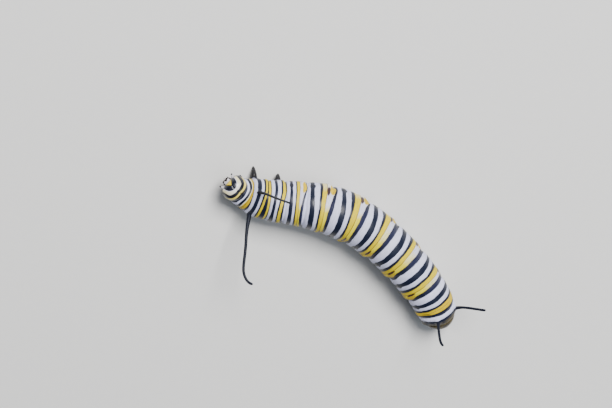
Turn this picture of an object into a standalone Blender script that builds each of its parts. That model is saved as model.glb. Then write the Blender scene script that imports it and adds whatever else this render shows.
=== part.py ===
"""Monarch larva, last instar: a still, life-size model in closed solids.

The larva rests on its belly with its head towards +X, +Y is its left and +Z is up. The body is a chain
of segments along a curved spine. Every leg, proleg, antenna and tentacle is rooted on the skin's own
surface function, a fixed gap above it, so it follows when a size changes. Sizes are in millimetres.
"""

import math
from collections import namedtuple

import bmesh
import bpy
from mathutils import Matrix, Vector

MM = 0.001
GAP = 0.3
COLLAR = 0.14
WELD = 0.03
PROBE = 0.1

# Length along the spine, place of the wide black band in it, radius there; then, at the front joint,
# heading and pitch of the joint's face, lean of the dorsal line to the right, and the belly's height.
Segment = namedtuple("Segment", "name length band radius heading pitch roll belly")
SEGMENTS = (
    Segment("thorax_1", 1.70, 0.52, 1.96, -8.0, 38.0, -10.0, 1.50),
    Segment("thorax_2", 2.60, 0.28, 2.48, 13.0, 11.0, -9.0, 0.66),
    Segment("thorax_3", 2.30, 0.32, 2.82, 25.0, 4.0, -7.0, 0.47),
    Segment("abdomen_1", 2.85, 0.31, 2.95, 28.4, 1.0, -5.0, 0.45),
    Segment("abdomen_2", 3.15, 0.28, 3.18, 26.2, -3.0, -2.0, 0.45),
    Segment("abdomen_3", 4.60, 0.30, 3.33, 17.9, 1.0, 6.0, 0.45),
    Segment("abdomen_4", 4.70, 0.30, 3.21, 0.4, 0.0, 18.0, 0.45),
    Segment("abdomen_5", 4.85, 0.30, 3.11, -9.2, -5.0, 24.0, 0.45),
    Segment("abdomen_6", 4.75, 0.30, 3.03, -15.9, -6.0, 25.0, 0.45),
    Segment("abdomen_7", 3.48, 0.30, 2.87, -21.4, -3.0, 27.0, 0.45),
    Segment("abdomen_8", 1.55, 0.44, 2.63, -32.6, 5.0, 31.0, 0.45),
    Segment("tail", 1.50, 0.50, 2.05, -38.3, 13.0, 30.0, 0.45),
)
END_HEADING = -44.0
END_PITCH = 32.0
END_ROLL = 24.0
END_RADIUS = 1.60
NECK_RADIUS = 1.76
ANCHOR_SEGMENT = 5
ANCHOR = Vector((4.8048, -4.9038, 0.0))
SPINE_STEP = 0.05

# Skin: a shallow joint between segments, a flatter belly and a lobe low on each side before the joint.
SIDES = 30
JOINT_DEPTH = 0.085
JOINT_SHARPNESS = 5.0
BELLY_FLAT = 0.085
LOBE_HEIGHT = 0.26
LOBE_AT = 0.80
LOBE_LENGTH = 0.13
LOBE_ANGLE = 93.0
LOBE_WIDTH = 17.0
FOLD_HEIGHT = 0.10
RINGS = ((0.09, "white"), (0.225, "white"), (0.37, "black"), (0.525, "white"), (0.705, "yellow"),
         (0.80, "cream"), (0.88, "cream"), (1.0, "black"))
NECK_RINGS = ((0.30, "cream"), (0.52, "white"), (0.72, "black"), (1.0, "yellow"))
NECK_BULGE = 0.12
TAIL_RINGS = ((0.20, "black"), (0.40, "olive"), (0.58, "olive"), (0.74, "olive"), (0.86, "olive"),
              (0.94, "olive"), (0.985, "olive"))
TAIL_POWER = 2.6

# Head capsule: its middle measured from the neck joint's, half sizes, and the way the face looks.
HEAD_FROM_NECK = Vector((0.55, -0.10, 0.36))
HEAD_TURN = -5.0
HEAD_LEAN = 13.8
FACE_LIFT = 71.0
HEAD_HALF_WIDTH = 1.75
HEAD_HALF_CROWN = 1.66
HEAD_HALF_MOUTH = 1.16
HEAD_HALF_DEPTH = 1.50
HEAD_POWER = 2.25
SUTURE_DEPTH = 0.10
SUTURE_WIDTH = 0.22
HEAD_SEGMENTS = 40
HEAD_RINGS = 22

# Six beads of each eye group: across, towards the mouth and out of the face, and the bead's radius.
STEMMATA = (
    (0.90, 0.10, 0.42), (0.95, 0.28, 0.30), (0.93, 0.46, 0.16),
    (0.86, 0.60, 0.02), (0.94, 0.36, -0.06), (0.80, 0.56, 0.34),
)
STEMMA_RADIUS = 0.16

# Mouth parts and antennae on the head: across, out of the face, half width, half depth and length.
Mouth = namedtuple("Mouth", "name across out half_width half_depth length taper")
MOUTH_PARTS = (
    Mouth("labrum", 0.0, 0.58, 0.58, 0.24, 0.40, 0.80),
    Mouth("jaw_left", 0.34, -0.10, 0.28, 0.30, 0.46, 0.55),
    Mouth("jaw_right", -0.34, -0.10, 0.28, 0.30, 0.46, 0.55),
    Mouth("labium", 0.0, -0.86, 0.46, 0.28, 0.48, 0.45),
)
ANTENNA_ACROSS = 0.88
ANTENNA_OUT = 0.22
ANTENNA_RADIUS = 0.26
ANTENNA_LENGTH = 0.60

# Thoracic legs: place along the segment, angle from the belly line, reach to the side of the foot.
Leg = namedtuple("Leg", "segment along angle knee_out foot_out foot_ahead")
LEGS = (
    Leg("thorax_1", 0.60, 22.0, 1.00, 1.10, 0.10),
    Leg("thorax_2", 0.22, 50.0, 2.75, 3.10, 0.34),
    Leg("thorax_3", 0.64, 46.0, 2.60, 2.70, -0.08),
)
LEG_RADII = (0.44, 0.40, 0.33, 0.27, 0.20, 0.14)
LEG_SIDES = 12
LEAST_RISE = 0.05

# Prolegs of abdomen 3 to 6 and the claspers of the tail.
PROLEG_SEGMENTS = ("abdomen_3", "abdomen_4", "abdomen_5", "abdomen_6")
PROLEG_ALONG = 0.50
PROLEG_ANGLE = 37.0
PROLEG_FOLLOWS_ROLL = 0.40
PROLEG_HALF_LENGTH = 0.80
PROLEG_HALF_WIDTH = 15.0
PROLEG_SOLE = (0.74, 0.58)
PROLEG_WAIST = 0.96
PROLEG_ANKLE = 1.05
PROLEG_ANKLE_HEIGHT = 0.20
PROLEG_SPLAY = 1.12
CLASPER_ALONG = 0.52
CLASPER_ANGLE = 34.0
CLASPER_BACK = 0.25
CLASPER_SCALE = 0.72

# Tentacles: root place, then the way each third points as azimuth and elevation in degrees.
Tentacle = namedtuple("Tentacle", "name segment angle length radius tip ways")
TENTACLES = (
    Tentacle("front_tentacle_left", "thorax_2", 53.0, 9.6, 0.34, 0.17,
             ((112.0, 32.0), (119.0, 28.0), (118.0, 27.0), (158.0, 26.0), (212.0, 20.0))),
    Tentacle("front_tentacle_right", "thorax_2", -45.0, 9.2, 0.34, 0.17,
             ((-100.0, 60.0), (-121.0, 66.0), (-123.0, 68.5), (-126.0, 67.5), (-133.0, 65.5))),
    Tentacle("rear_tentacle_left", "abdomen_8", 39.5, 4.0, 0.33, 0.20,
             ((100.0, 74.0), (118.0, 66.0), (128.0, 62.0), (158.0, 56.0), (196.0, 48.0))),
    Tentacle("rear_tentacle_right", "abdomen_8", -39.5, 4.1, 0.33, 0.20,
             ((-124.0, 35.0), (-138.0, 31.0), (-142.0, 29.0), (-143.0, 27.0), (-140.0, 20.0))),
)
TENTACLE_BENDS = (0.0, 0.10, 0.30, 0.68, 0.88, 1.0)
TENTACLE_RINGS = 14
TENTACLE_SIDES = 10

# Finishes: colour, roughness and metallic value.
FINISHES = {
    "white": ((0.74, 0.73, 0.78), 0.50, 0.0),
    "black": ((0.018, 0.020, 0.030), 0.36, 0.0),
    "yellow": ((0.80, 0.56, 0.04), 0.48, 0.0),
    "cream": ((0.84, 0.74, 0.42), 0.50, 0.0),
    "olive": ((0.13, 0.10, 0.05), 0.55, 0.0),
    "capsule": ((0.022, 0.024, 0.030), 0.24, 0.0),
    "horn": ((0.022, 0.020, 0.024), 0.34, 0.0),
    "pale": ((0.62, 0.58, 0.50), 0.45, 0.0),
    "flesh": ((0.20, 0.17, 0.16), 0.50, 0.0),
}


def remove_startup_objects():
    """Empty the scene that the script starts in."""
    for item in list(bpy.data.objects):
        bpy.data.objects.remove(item, do_unlink=True)


def make_finish(name):
    """Return the Principled material of one named finish."""
    colour, roughness, metallic = FINISHES[name]
    material = bpy.data.materials.new(name)
    material.use_nodes = True
    shader = material.node_tree.nodes["Principled BSDF"]
    shader.inputs["Base Color"].default_value = (*colour, 1.0)
    shader.inputs["Roughness"].default_value = roughness
    shader.inputs["Metallic"].default_value = metallic
    material.diffuse_color = (*colour, 1.0)
    return material


def smooth_between(stations, values, place):
    """Return the value at a place on a smooth curve through values at rising stations."""
    if place <= stations[0]:
        return values[0]
    if place >= stations[-1]:
        return values[-1]
    last = len(stations) - 1
    index = max(i for i in range(last) if stations[i] <= place)

    def slope(i):
        before, after = max(i - 1, 0), min(i + 1, last)
        return (values[after] - values[before]) / (stations[after] - stations[before])

    width = stations[index + 1] - stations[index]
    t = (place - stations[index]) / width
    a, b = values[index], values[index + 1]
    return (a * (1 + 2 * t) * (1 - t) ** 2 + b * t * t * (3 - 2 * t)
            + width * (slope(index) * t * (1 - t) ** 2 - slope(index + 1) * t * t * (1 - t)))


def straight_between(stations, values, place):
    """Return the value at a place on straight runs through values at rising stations."""
    for i in range(len(stations) - 1):
        if place <= stations[i + 1]:
            t = max(0.0, (place - stations[i]) / (stations[i + 1] - stations[i]))
            return values[i] + (values[i + 1] - values[i]) * t
    return values[-1]


class Spine:
    """The body's centre line, run from the neck to the tail, and the skin round it."""

    def __init__(self):
        self.joints = [0.0]
        for segment in SEGMENTS:
            self.joints.append(self.joints[-1] + segment.length)
        self.total = self.joints[-1]
        self.headings = [segment.heading for segment in SEGMENTS] + [END_HEADING]
        self.rolls = [segment.roll for segment in SEGMENTS] + [END_ROLL]
        self.pitches = [segment.pitch for segment in SEGMENTS] + [END_PITCH]
        self.bellies = [segment.belly for segment in SEGMENTS] + [SEGMENTS[-1].belly]
        self.bands = [self.joints[i] + s.band * s.length for i, s in enumerate(SEGMENTS)]
        self.points = [Vector()]
        for i in range(int(self.total / SPINE_STEP) + 2):
            heading = math.radians(self.heading((i + 0.5) * SPINE_STEP))
            step = Vector((-math.cos(heading), -math.sin(heading), 0.0)) * SPINE_STEP
            self.points.append(self.points[-1] + step)
        anchor = self.centre(self.bands[ANCHOR_SEGMENT])
        shift = ANCHOR - Vector((anchor.x, anchor.y, 0.0))
        self.points = [point + shift for point in self.points]

    def heading(self, s):
        """Return the heading of the head direction at s, in degrees from +X."""
        return straight_between(self.joints, self.headings, s)

    def roll(self, s):
        """Return how far the dorsal line leans to the right at s, in degrees."""
        return smooth_between(self.joints, self.rolls, s)

    def radius(self, s):
        """Return the body's radius at s before joints, belly and lobes shape it."""
        stations = [0.0] + self.bands + [self.total]
        values = [NECK_RADIUS] + [segment.radius for segment in SEGMENTS] + [END_RADIUS]
        return smooth_between(stations, values, s)

    def centre(self, s):
        """Return the centre line's point at s."""
        place = min(max(s, 0.0), self.total) / SPINE_STEP
        index = int(place)
        point = self.points[index].lerp(self.points[index + 1], place - index)
        point.z = self.radius(s) + smooth_between(self.joints, self.bellies, s)
        return point

    def frame(self, s):
        """Return centre, forward, left and up at s."""
        heading = math.radians(self.heading(s))
        pitch = math.radians(straight_between(self.joints, self.pitches, s))
        ahead = Vector((math.cos(heading), math.sin(heading), 0.0))
        forward = ahead * math.cos(pitch) + Vector((0.0, 0.0, math.sin(pitch)))
        left = Vector((0.0, 0.0, 1.0)).cross(ahead)
        return self.centre(s), forward, left, forward.cross(left)

    def segment_at(self, s):
        """Return the index of the segment that holds s and the fraction of its length there."""
        for i, segment in enumerate(SEGMENTS):
            if s <= self.joints[i + 1] or segment is SEGMENTS[-1]:
                return i, (s - self.joints[i]) / segment.length

    def skin(self, s, floor_angle, lift=0.0):
        """Return the skin's point at s, at an angle from straight up towards the left."""
        index, along = self.segment_at(s)
        centre, forward, left, up = self.frame(s)
        angle = math.radians(floor_angle)
        body_angle = math.degrees(math.remainder(angle + math.radians(self.roll(s)), math.tau))
        is_tail = index == len(SEGMENTS) - 1
        edge = abs(2 * along - 1) ** JOINT_SHARPNESS
        radius = self.radius(s) * (1 - JOINT_DEPTH * edge)
        if is_tail:
            front = max(0.0, 1 - 2 * along) ** JOINT_SHARPNESS
            radius = self.radius(s) * (1 - JOINT_DEPTH * front)
            radius *= (1 - min(along, 1.0) ** TAIL_POWER) ** (1 / TAIL_POWER)
        radius *= 1 - BELLY_FLAT * max(0.0, -math.cos(angle)) ** 2
        side = (abs(body_angle) - LOBE_ANGLE) / LOBE_WIDTH
        lobe = math.exp(-side * side)
        if 0 < index and not is_tail:
            bump = (along - LOBE_AT) / LOBE_LENGTH
            radius += LOBE_HEIGHT * lobe * math.exp(-bump * bump)
            radius += FOLD_HEIGHT * lobe * (1 - edge)
        direction = up * math.cos(angle) + left * math.sin(angle)
        return centre + direction * (radius + lift)


class Head:
    """The head capsule, with its own axes across, towards the mouth and out of the face."""

    def __init__(self, spine):
        neck, self.neck_forward, _, _ = spine.frame(0.0)
        self.neck_plane = neck + self.neck_forward * GAP
        self.centre = neck + HEAD_FROM_NECK
        turn = Matrix.Rotation(math.radians(HEAD_TURN), 3, "Z")
        lift = math.radians(FACE_LIFT)
        self.mouth = turn @ Vector((math.sin(lift), 0.0, -math.cos(lift)))
        lean = Matrix.Rotation(math.radians(HEAD_LEAN), 3, self.mouth)
        self.face = lean @ turn @ Vector((math.cos(lift), 0.0, math.sin(lift)))
        self.across = self.face.cross(self.mouth)

    def reach(self, way):
        """Return the capsule's radius along a unit way (across, mouth, face)."""
        share = 0.5 + 0.5 * way.y
        length = HEAD_HALF_CROWN + (HEAD_HALF_MOUTH - HEAD_HALF_CROWN) * share
        sizes = (HEAD_HALF_WIDTH, length, HEAD_HALF_DEPTH)
        total = sum(abs(part / size) ** HEAD_POWER for part, size in zip(way, sizes))
        crease = math.exp(-(way.x / SUTURE_WIDTH) ** 2)
        crease *= max(0.0, 0.1 - way.y) * max(0.0, way.z + 0.4)
        return total ** (-1 / HEAD_POWER) - SUTURE_DEPTH * crease

    def place(self, local):
        """Return the world point of a local (across, mouth, face) one."""
        return self.centre + self.across * local.x + self.mouth * local.y + self.face * local.z

    def skin(self, across, out, lift=0.0):
        """Return the surface point where a ray with these slopes from the mouth axis leaves it."""
        way = Vector((across, 1.0, out)).normalized()
        return self.place(way * (self.reach(way) + lift))


def mesh_object(name, shape, finishes):
    """Make an object of a bmesh that is in millimetres."""
    bmesh.ops.recalc_face_normals(shape, faces=shape.faces)
    bmesh.ops.scale(shape, vec=(MM, MM, MM), verts=shape.verts)
    mesh = bpy.data.meshes.new(name)
    shape.to_mesh(mesh)
    shape.free()
    for finish in finishes:
        mesh.materials.append(bpy.data.materials[finish])
    mesh.shade_smooth()
    mesh.set_sharp_from_angle(angle=math.radians(40))
    item = bpy.data.objects.new(name, mesh)
    bpy.context.collection.objects.link(item)
    return item


def join_rings(shape, lower, upper, material):
    """Join two rings of points with faces; either may be a single point."""
    count = max(len(lower), len(upper))
    for i in range(count):
        j = (i + 1) % count
        if len(lower) == 1:
            corners = (lower[0], upper[j], upper[i])
        elif len(upper) == 1:
            corners = (lower[i], lower[j], upper[0])
        else:
            corners = (lower[i], lower[j], upper[j], upper[i])
        face = shape.faces.new(corners)
        face.material_index = material


def loft(name, rings, finishes, bands=None):
    """Make a closed solid through rings of points, with a flat or pointed end at each end."""
    shape = bmesh.new()
    made = [[shape.verts.new(point) for point in ring] for ring in rings]
    for i in range(len(made) - 1):
        join_rings(shape, made[i], made[i + 1], bands[i] if bands else 0)
    for ring in (made[0], made[-1]):
        if len(ring) > 2:
            shape.faces.new(ring)
    bmesh.ops.triangulate(shape, faces=[face for face in shape.faces if len(face.verts) > 4])
    return mesh_object(name, shape, finishes)


def body_segment(spine, index):
    """Make one body segment; each end is flat, half a gap from the joint's own plane."""
    segment = SEGMENTS[index]
    is_tail = index == len(SEGMENTS) - 1
    front, back = spine.joints[index], spine.joints[index + 1]
    rows = TAIL_RINGS if is_tail else NECK_RINGS if index == 0 else RINGS
    trim = GAP / 2 if index else 0.0
    angles = [360.0 * i / SIDES for i in range(SIDES)]
    face_front = spine.frame(front)[1] * -trim
    face_back = spine.frame(back)[1] * (GAP / 2)
    first = [spine.skin(front, angle) + face_front for angle in angles]
    last = [spine.skin(back, angle) + face_back for angle in angles]
    rings = [first]
    for share, _ in rows:
        if index == 0:
            out = NECK_BULGE * 4 * share * (1 - share)
            middle = sum(first, Vector()).lerp(sum(last, Vector()), share) / SIDES
            ring = [a.lerp(b, share) for a, b in zip(first, last)]
            ring = [point + (point - middle).normalized() * out for point in ring]
        else:
            s = front + trim + (back - front - 1.5 * trim) * share
            ring = [spine.skin(s, angle) for angle in angles]
        rings.append(ring)
    if is_tail:
        rings.append([spine.centre(back)])
    else:
        rings[-1] = last
    finishes = ("olive", "black") if is_tail else ("white", "black", "yellow", "cream")
    bands = [finishes.index(row[1]) for row in rows] + [0]
    return loft(segment.name, rings, finishes, bands)


def fuse(target, pieces):
    """Join closed pieces onto a target and drop them, keeping the target one closed body."""
    group = bpy.data.collections.new(target.name + "_pieces")
    bpy.context.scene.collection.children.link(group)
    for piece in pieces:
        bpy.context.collection.objects.unlink(piece)
        group.objects.link(piece)
    union = target.modifiers.new("fuse", "BOOLEAN")
    union.operation = "UNION"
    union.operand_type = "COLLECTION"
    union.collection = group
    union.solver = "EXACT"
    bpy.context.view_layer.update()
    graph = bpy.context.evaluated_depsgraph_get()
    mesh = bpy.data.meshes.new_from_object(target.evaluated_get(graph))
    target.modifiers.remove(union)
    clean = bmesh.new()
    clean.from_mesh(mesh)
    bmesh.ops.remove_doubles(clean, verts=clean.verts, dist=WELD * MM)
    bmesh.ops.dissolve_degenerate(clean, edges=clean.edges, dist=WELD * MM)
    bmesh.ops.triangulate(clean, faces=[face for face in clean.faces if len(face.verts) > 3])
    clean.to_mesh(mesh)
    clean.free()
    target.data = mesh
    for piece in pieces:
        bpy.data.objects.remove(piece, do_unlink=True)
    bpy.data.collections.remove(group)


def head_capsule(head):
    """Make the head capsule, cut square behind where it meets the neck, with its eye beads."""
    shape = bmesh.new()
    bmesh.ops.create_uvsphere(shape, u_segments=HEAD_SEGMENTS, v_segments=HEAD_RINGS, radius=1.0)
    for vertex in shape.verts:
        way = Vector((vertex.co.x, -vertex.co.z, vertex.co.y)).normalized()
        vertex.co = head.place(way * head.reach(way))
    whole = shape.verts[:] + shape.edges[:] + shape.faces[:]
    cut = bmesh.ops.bisect_plane(shape, geom=whole, plane_co=head.neck_plane,
                                 plane_no=head.neck_forward, clear_inner=True)
    rim = [part for part in cut["geom_cut"] if isinstance(part, bmesh.types.BMEdge)]
    bmesh.ops.holes_fill(shape, edges=rim)
    bmesh.ops.triangulate(shape, faces=[face for face in shape.faces if len(face.verts) > 4])
    capsule = mesh_object("head", shape, ("capsule",))
    beads = []
    for side in (1, -1):
        for across, mouth, out in STEMMATA:
            way = Vector((side * across, mouth, out)).normalized()
            bead = bmesh.new()
            centre = head.place(way * (head.reach(way) - 0.25 * STEMMA_RADIUS))
            bmesh.ops.create_icosphere(bead, subdivisions=1, radius=STEMMA_RADIUS,
                                       matrix=Matrix.Translation(centre))
            beads.append(mesh_object("bead", bead, ("capsule",)))
    fuse(capsule, beads)
    return capsule


def root_rings(surface, middle, half, sides, inner=0.5):
    """Return rings from a patch's middle to its rim, a gap above a surface, then a low collar."""
    rings = [[surface(middle[0], middle[1], GAP)]]
    for share, lift in ((inner, GAP), (1.0, GAP), (1.0, GAP + COLLAR)):
        ring = []
        for i in range(sides):
            turn = math.tau * i / sides
            first = middle[0] + half[0] * share * math.cos(turn)
            second = middle[1] + half[1] * share * math.sin(turn)
            ring.append(surface(first, second, lift))
        rings.append(ring)
    return rings


def shaft_rings(rim, path, sizes, floor_end=False):
    """Return rings across a path that match a root's rim point by point.

    Each size is a pair of half widths, the first along the rim's own first direction.
    """
    middle = sum(rim, Vector()) / len(rim)
    first = (rim[0] - middle).normalized()
    across = (rim[len(rim) // 4] - middle).normalized()
    hand = 1 if (path[0] - middle).cross(first).dot(across) > 0 else -1
    rings = []
    for i, (point, size) in enumerate(zip(path, sizes)):
        before = path[i - 1] if i else middle
        after = path[i + 1] if i + 1 < len(path) else point
        way = (after - before).normalized()
        if floor_end and i + 1 == len(path):
            way = Vector((0.0, 0.0, -1.0))
        first = (first - way * first.dot(way)).normalized()
        second = way.cross(first) * hand
        ring = []
        for k in range(len(rim)):
            turn = math.tau * k / len(rim)
            corner = point + first * (size[0] * math.cos(turn)) + second * (size[1] * math.sin(turn))
            if floor_end and i + 1 < len(path):
                corner.z = max(corner.z, LEAST_RISE)
            ring.append(corner)
        rings.append(ring)
    return rings


def round_patch(spine, s, angle, radius):
    """Return the half sizes, along the spine and in degrees, of a round patch of skin."""
    reach = spine.skin(s + PROBE, angle) - spine.skin(s - PROBE, angle)
    return radius * 2 * PROBE / reach.length, math.degrees(radius / spine.radius(s))


def mouth_part(head, part):
    """Make one mouth part that hangs from the capsule's mouth end."""
    half = (part.half_width / HEAD_HALF_MOUTH, part.half_depth / HEAD_HALF_MOUTH)
    rings = root_rings(head.skin, (part.across, part.out), half, LEG_SIDES)
    base = sum(rings[-1], Vector()) / LEG_SIDES
    lean = (head.mouth + head.face * (0.30 * part.out) - head.across * (0.25 * part.across)).normalized()
    path = [base + lean * (part.length * share) for share in (0.40, 0.72, 1.0)]
    sizes = []
    for share, shrink in ((0.0, 1.0), (0.5, 0.92), (1.0, part.taper)):
        sizes.append((part.half_width * shrink, part.half_depth * (1 - 0.25 * share)))
    rings += shaft_rings(rings[-1], path, sizes)
    return loft(part.name, rings, ("pale" if part.name in ("labrum", "labium") else "capsule",))


def antenna(head, side):
    """Make one short jointed antenna beside the mouth."""
    half = (ANTENNA_RADIUS / HEAD_HALF_MOUTH,) * 2
    rings = root_rings(head.skin, (side * ANTENNA_ACROSS, ANTENNA_OUT), half, 8)
    base = sum(rings[-1], Vector()) / 8
    lean = (head.mouth * 0.86 + head.across * (0.50 * side) + head.face * 0.12).normalized()
    shares = (0.25, 0.45, 0.50, 0.78, 0.82, 1.0)
    radii = (1.0, 1.0, 0.80, 0.76, 0.5, 0.36)
    path = [base + lean * (ANTENNA_LENGTH * share) for share in shares]
    rings += shaft_rings(rings[-1], path, [(ANTENNA_RADIUS * r, ANTENNA_RADIUS * r) for r in radii])
    return loft("antenna_left" if side > 0 else "antenna_right", rings, ("pale",))


def side_name(base, side):
    """Return a node name with its side."""
    return base + ("_left" if side > 0 else "_right")


def index_of(name):
    """Return the index of a named segment."""
    return [segment.name for segment in SEGMENTS].index(name)


def thoracic_leg(spine, leg, side):
    """Make one jointed leg that arches out from the belly's side to a small flat on the floor."""
    index = index_of(leg.segment)
    s = spine.joints[index] + leg.along * SEGMENTS[index].length
    angle = side * (180.0 - leg.angle)
    centre, forward, left, _ = spine.frame(s)
    half = round_patch(spine, s, angle, LEG_RADII[0])
    rings = root_rings(spine.skin, (s, angle), half, LEG_SIDES)
    root = sum(rings[-1], Vector()) / LEG_SIDES
    ahead = Vector((forward.x, forward.y, 0.0)).normalized()
    ground = Vector((centre.x, centre.y, 0.0)) + ahead * ahead.dot(root - centre)
    knee = ground + left * (side * leg.knee_out) + ahead * (0.5 * leg.foot_ahead)
    knee.z = root.z * 0.80
    foot = ground + left * (side * leg.foot_out) + ahead * leg.foot_ahead
    path = []
    for t in (0.18, 0.45, 0.66, 0.86, 1.0):
        path.append(root * (1 - t) ** 2 + knee * (2 * t * (1 - t)) + foot * (t * t))
    sizes = [(radius, radius) for radius in LEG_RADII[1:]]
    rings += shaft_rings(rings[-1], path, sizes, floor_end=True)
    number = leg.segment[-1]
    return loft(side_name("leg_" + number, side), rings, ("horn",))


def proleg(spine, name, s, angle, side, splay, back, scale=1.0):
    """Make one fleshy proleg between the belly and its flat sole on the floor."""
    half = (PROLEG_HALF_LENGTH * scale * scale, PROLEG_HALF_WIDTH)
    rings = root_rings(spine.skin, (s, angle), half, LEG_SIDES)
    root = sum(rings[-1], Vector()) / LEG_SIDES
    centre, forward, _, _ = spine.frame(s)
    ahead = Vector((forward.x, forward.y, 0.0)).normalized()
    sole = centre.lerp(root, splay) - ahead * back
    sole.z = 0.0
    wide, deep = PROLEG_SOLE[0] * scale, PROLEG_SOLE[1] * scale
    waist = root.lerp(sole, 0.50)
    ankle = root.lerp(sole, 0.80)
    ankle.z = PROLEG_ANKLE_HEIGHT
    path = [waist, ankle, sole]
    sizes = [(wide * share, deep * share) for share in (PROLEG_WAIST, PROLEG_ANKLE, 1.0)]
    rings += shaft_rings(rings[-1], path, sizes, floor_end=True)
    return loft(side_name(name, side), rings, ("flesh",))


def tentacle(spine, part):
    """Make one tentacle that leaves the skin square and bends through its named ways."""
    index = index_of(part.segment)
    s = spine.bands[index]
    angle = part.angle - spine.roll(s)
    half = round_patch(spine, s, angle, part.radius)
    rings = root_rings(spine.skin, (s, angle), half, TENTACLE_SIDES)
    point = sum(rings[-1], Vector()) / TENTACLE_SIDES
    centre = spine.centre(s)
    ways = [(point - centre).normalized()]
    for azimuth, height in part.ways:
        a, e = math.radians(azimuth), math.radians(height)
        ways.append(Vector((math.cos(a) * math.cos(e), math.sin(a) * math.cos(e), math.sin(e))))
    path, sizes = [], []
    step = part.length / TENTACLE_RINGS
    for i in range(TENTACLE_RINGS):
        t = (i + 0.5) / TENTACLE_RINGS
        way = Vector([smooth_between(TENTACLE_BENDS, [w[k] for w in ways], t) for k in range(3)])
        point = point + way.normalized() * step
        path.append(point.copy())
        share = (i + 1) / TENTACLE_RINGS
        radius = part.radius + (part.tip - part.radius) * share ** 1.5
        sizes.append((radius, radius))
    rings += shaft_rings(rings[-1], path, sizes)
    rings.append([path[-1] + (path[-1] - path[-2]).normalized() * part.tip])
    return loft(part.name, rings, ("horn",))


def main():
    """Build every node of the larva."""
    remove_startup_objects()
    for name in FINISHES:
        make_finish(name)
    spine = Spine()
    head = Head(spine)
    head_capsule(head)
    for part in MOUTH_PARTS:
        mouth_part(head, part)
    for index in range(len(SEGMENTS)):
        body_segment(spine, index)
    for side in (1, -1):
        antenna(head, side)
        for leg in LEGS:
            thoracic_leg(spine, leg, side)
        for name in PROLEG_SEGMENTS:
            index = index_of(name)
            s = spine.joints[index] + PROLEG_ALONG * SEGMENTS[index].length
            angle = side * (180.0 - PROLEG_ANGLE) - PROLEG_FOLLOWS_ROLL * spine.roll(s)
            proleg(spine, "proleg_" + name[-1], s, angle, side, PROLEG_SPLAY, 0.0)
        s = spine.joints[-2] + CLASPER_ALONG * SEGMENTS[-1].length
        angle = side * (180.0 - CLASPER_ANGLE) - PROLEG_FOLLOWS_ROLL * spine.roll(s)
        proleg(spine, "clasper", s, angle, side, 1.0, CLASPER_BACK, CLASPER_SCALE)
    for part in TENTACLES:
        tentacle(spine, part)


if __name__ == "__main__":
    main()
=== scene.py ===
"""Dresses the monarch larva: one banded skin with its prolegs, a patterned head, legs, feelers and hairs.

Sizes are in millimetres until a mesh is made, in the frame's own axes: the head towards +X, the larva's
left towards +Y, and up +Z, with the floor at zero. Angles are in degrees. On the body, a place is given by
its distance s from the neck along the spine and its angle from straight up towards the left.
"""

import logging
import math
from dataclasses import dataclass, field
from enum import Enum
from functools import partial
from typing import Callable, Iterable, Sequence, Union

import bmesh
import bpy
import numpy as np
from mathutils import Matrix, Vector


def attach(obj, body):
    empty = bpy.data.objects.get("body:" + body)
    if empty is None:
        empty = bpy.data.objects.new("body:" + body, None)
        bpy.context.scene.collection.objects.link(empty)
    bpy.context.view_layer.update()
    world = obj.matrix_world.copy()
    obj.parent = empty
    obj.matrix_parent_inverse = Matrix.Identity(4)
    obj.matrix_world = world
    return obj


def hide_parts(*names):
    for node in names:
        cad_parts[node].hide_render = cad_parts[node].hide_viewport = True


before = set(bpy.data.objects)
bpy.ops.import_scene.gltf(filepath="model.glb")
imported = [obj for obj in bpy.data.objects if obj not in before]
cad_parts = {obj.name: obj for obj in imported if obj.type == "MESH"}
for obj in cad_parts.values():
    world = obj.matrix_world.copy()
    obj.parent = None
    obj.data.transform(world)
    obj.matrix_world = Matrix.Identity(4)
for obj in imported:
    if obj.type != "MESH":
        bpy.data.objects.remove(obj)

Array = np.ndarray
Number = Union[int, float]
Term = Union["Socket", int, float]
Colour = tuple[float, float, float]
Piece = bpy.types.Object
Material = bpy.types.Material
Span = tuple[float, float]
Triple = tuple[float, float, float]
Stripes = tuple[float, ...]
Faces = list[tuple[int, ...]]

LOG = logging.getLogger("larva")
MM = 0.001
TINY = 1e-9
BODY = "root"
SIDES = ((1, "left"), (-1, "right"))
PLAN = np.array([1.0, 1.0, 0.0])
TOP = np.array([0.0, 0.0, 1.0])

# Legs and feelers start this far over the skin, as in the CAD.
ROOT_LIFT = 0.44
PROLEG_SEGMENTS = (3, 4, 5, 6)

# The levels at which the stripes end in every segment, whatever their real widths are. The first two rings
# have their own.
LEVELS = (0.2, 0.35, 0.5, 0.56, 0.7, 0.722, 0.86, 0.985)
COLLAR_LEVELS = (0.04, 0.15, 0.38, 0.48, 0.6, 0.66, 0.9, 0.985)
SPOT_LEVELS = (0.2, 0.35, 0.5, 0.56, 0.66, 0.82, 0.93, 0.985)


@dataclass(frozen=True)
class Segment:
    """One division of the body, with its values at the front joint, as the CAD has them.

    The stripes' real ends are fractions of its length, on the right flank, on top and on the left flank.
    """

    name: str
    length: float
    band: float
    radius: float
    heading: float
    pitch: float
    roll: float
    belly: float
    right: Stripes = ()
    top: Stripes = ()
    left: Stripes = ()


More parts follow.
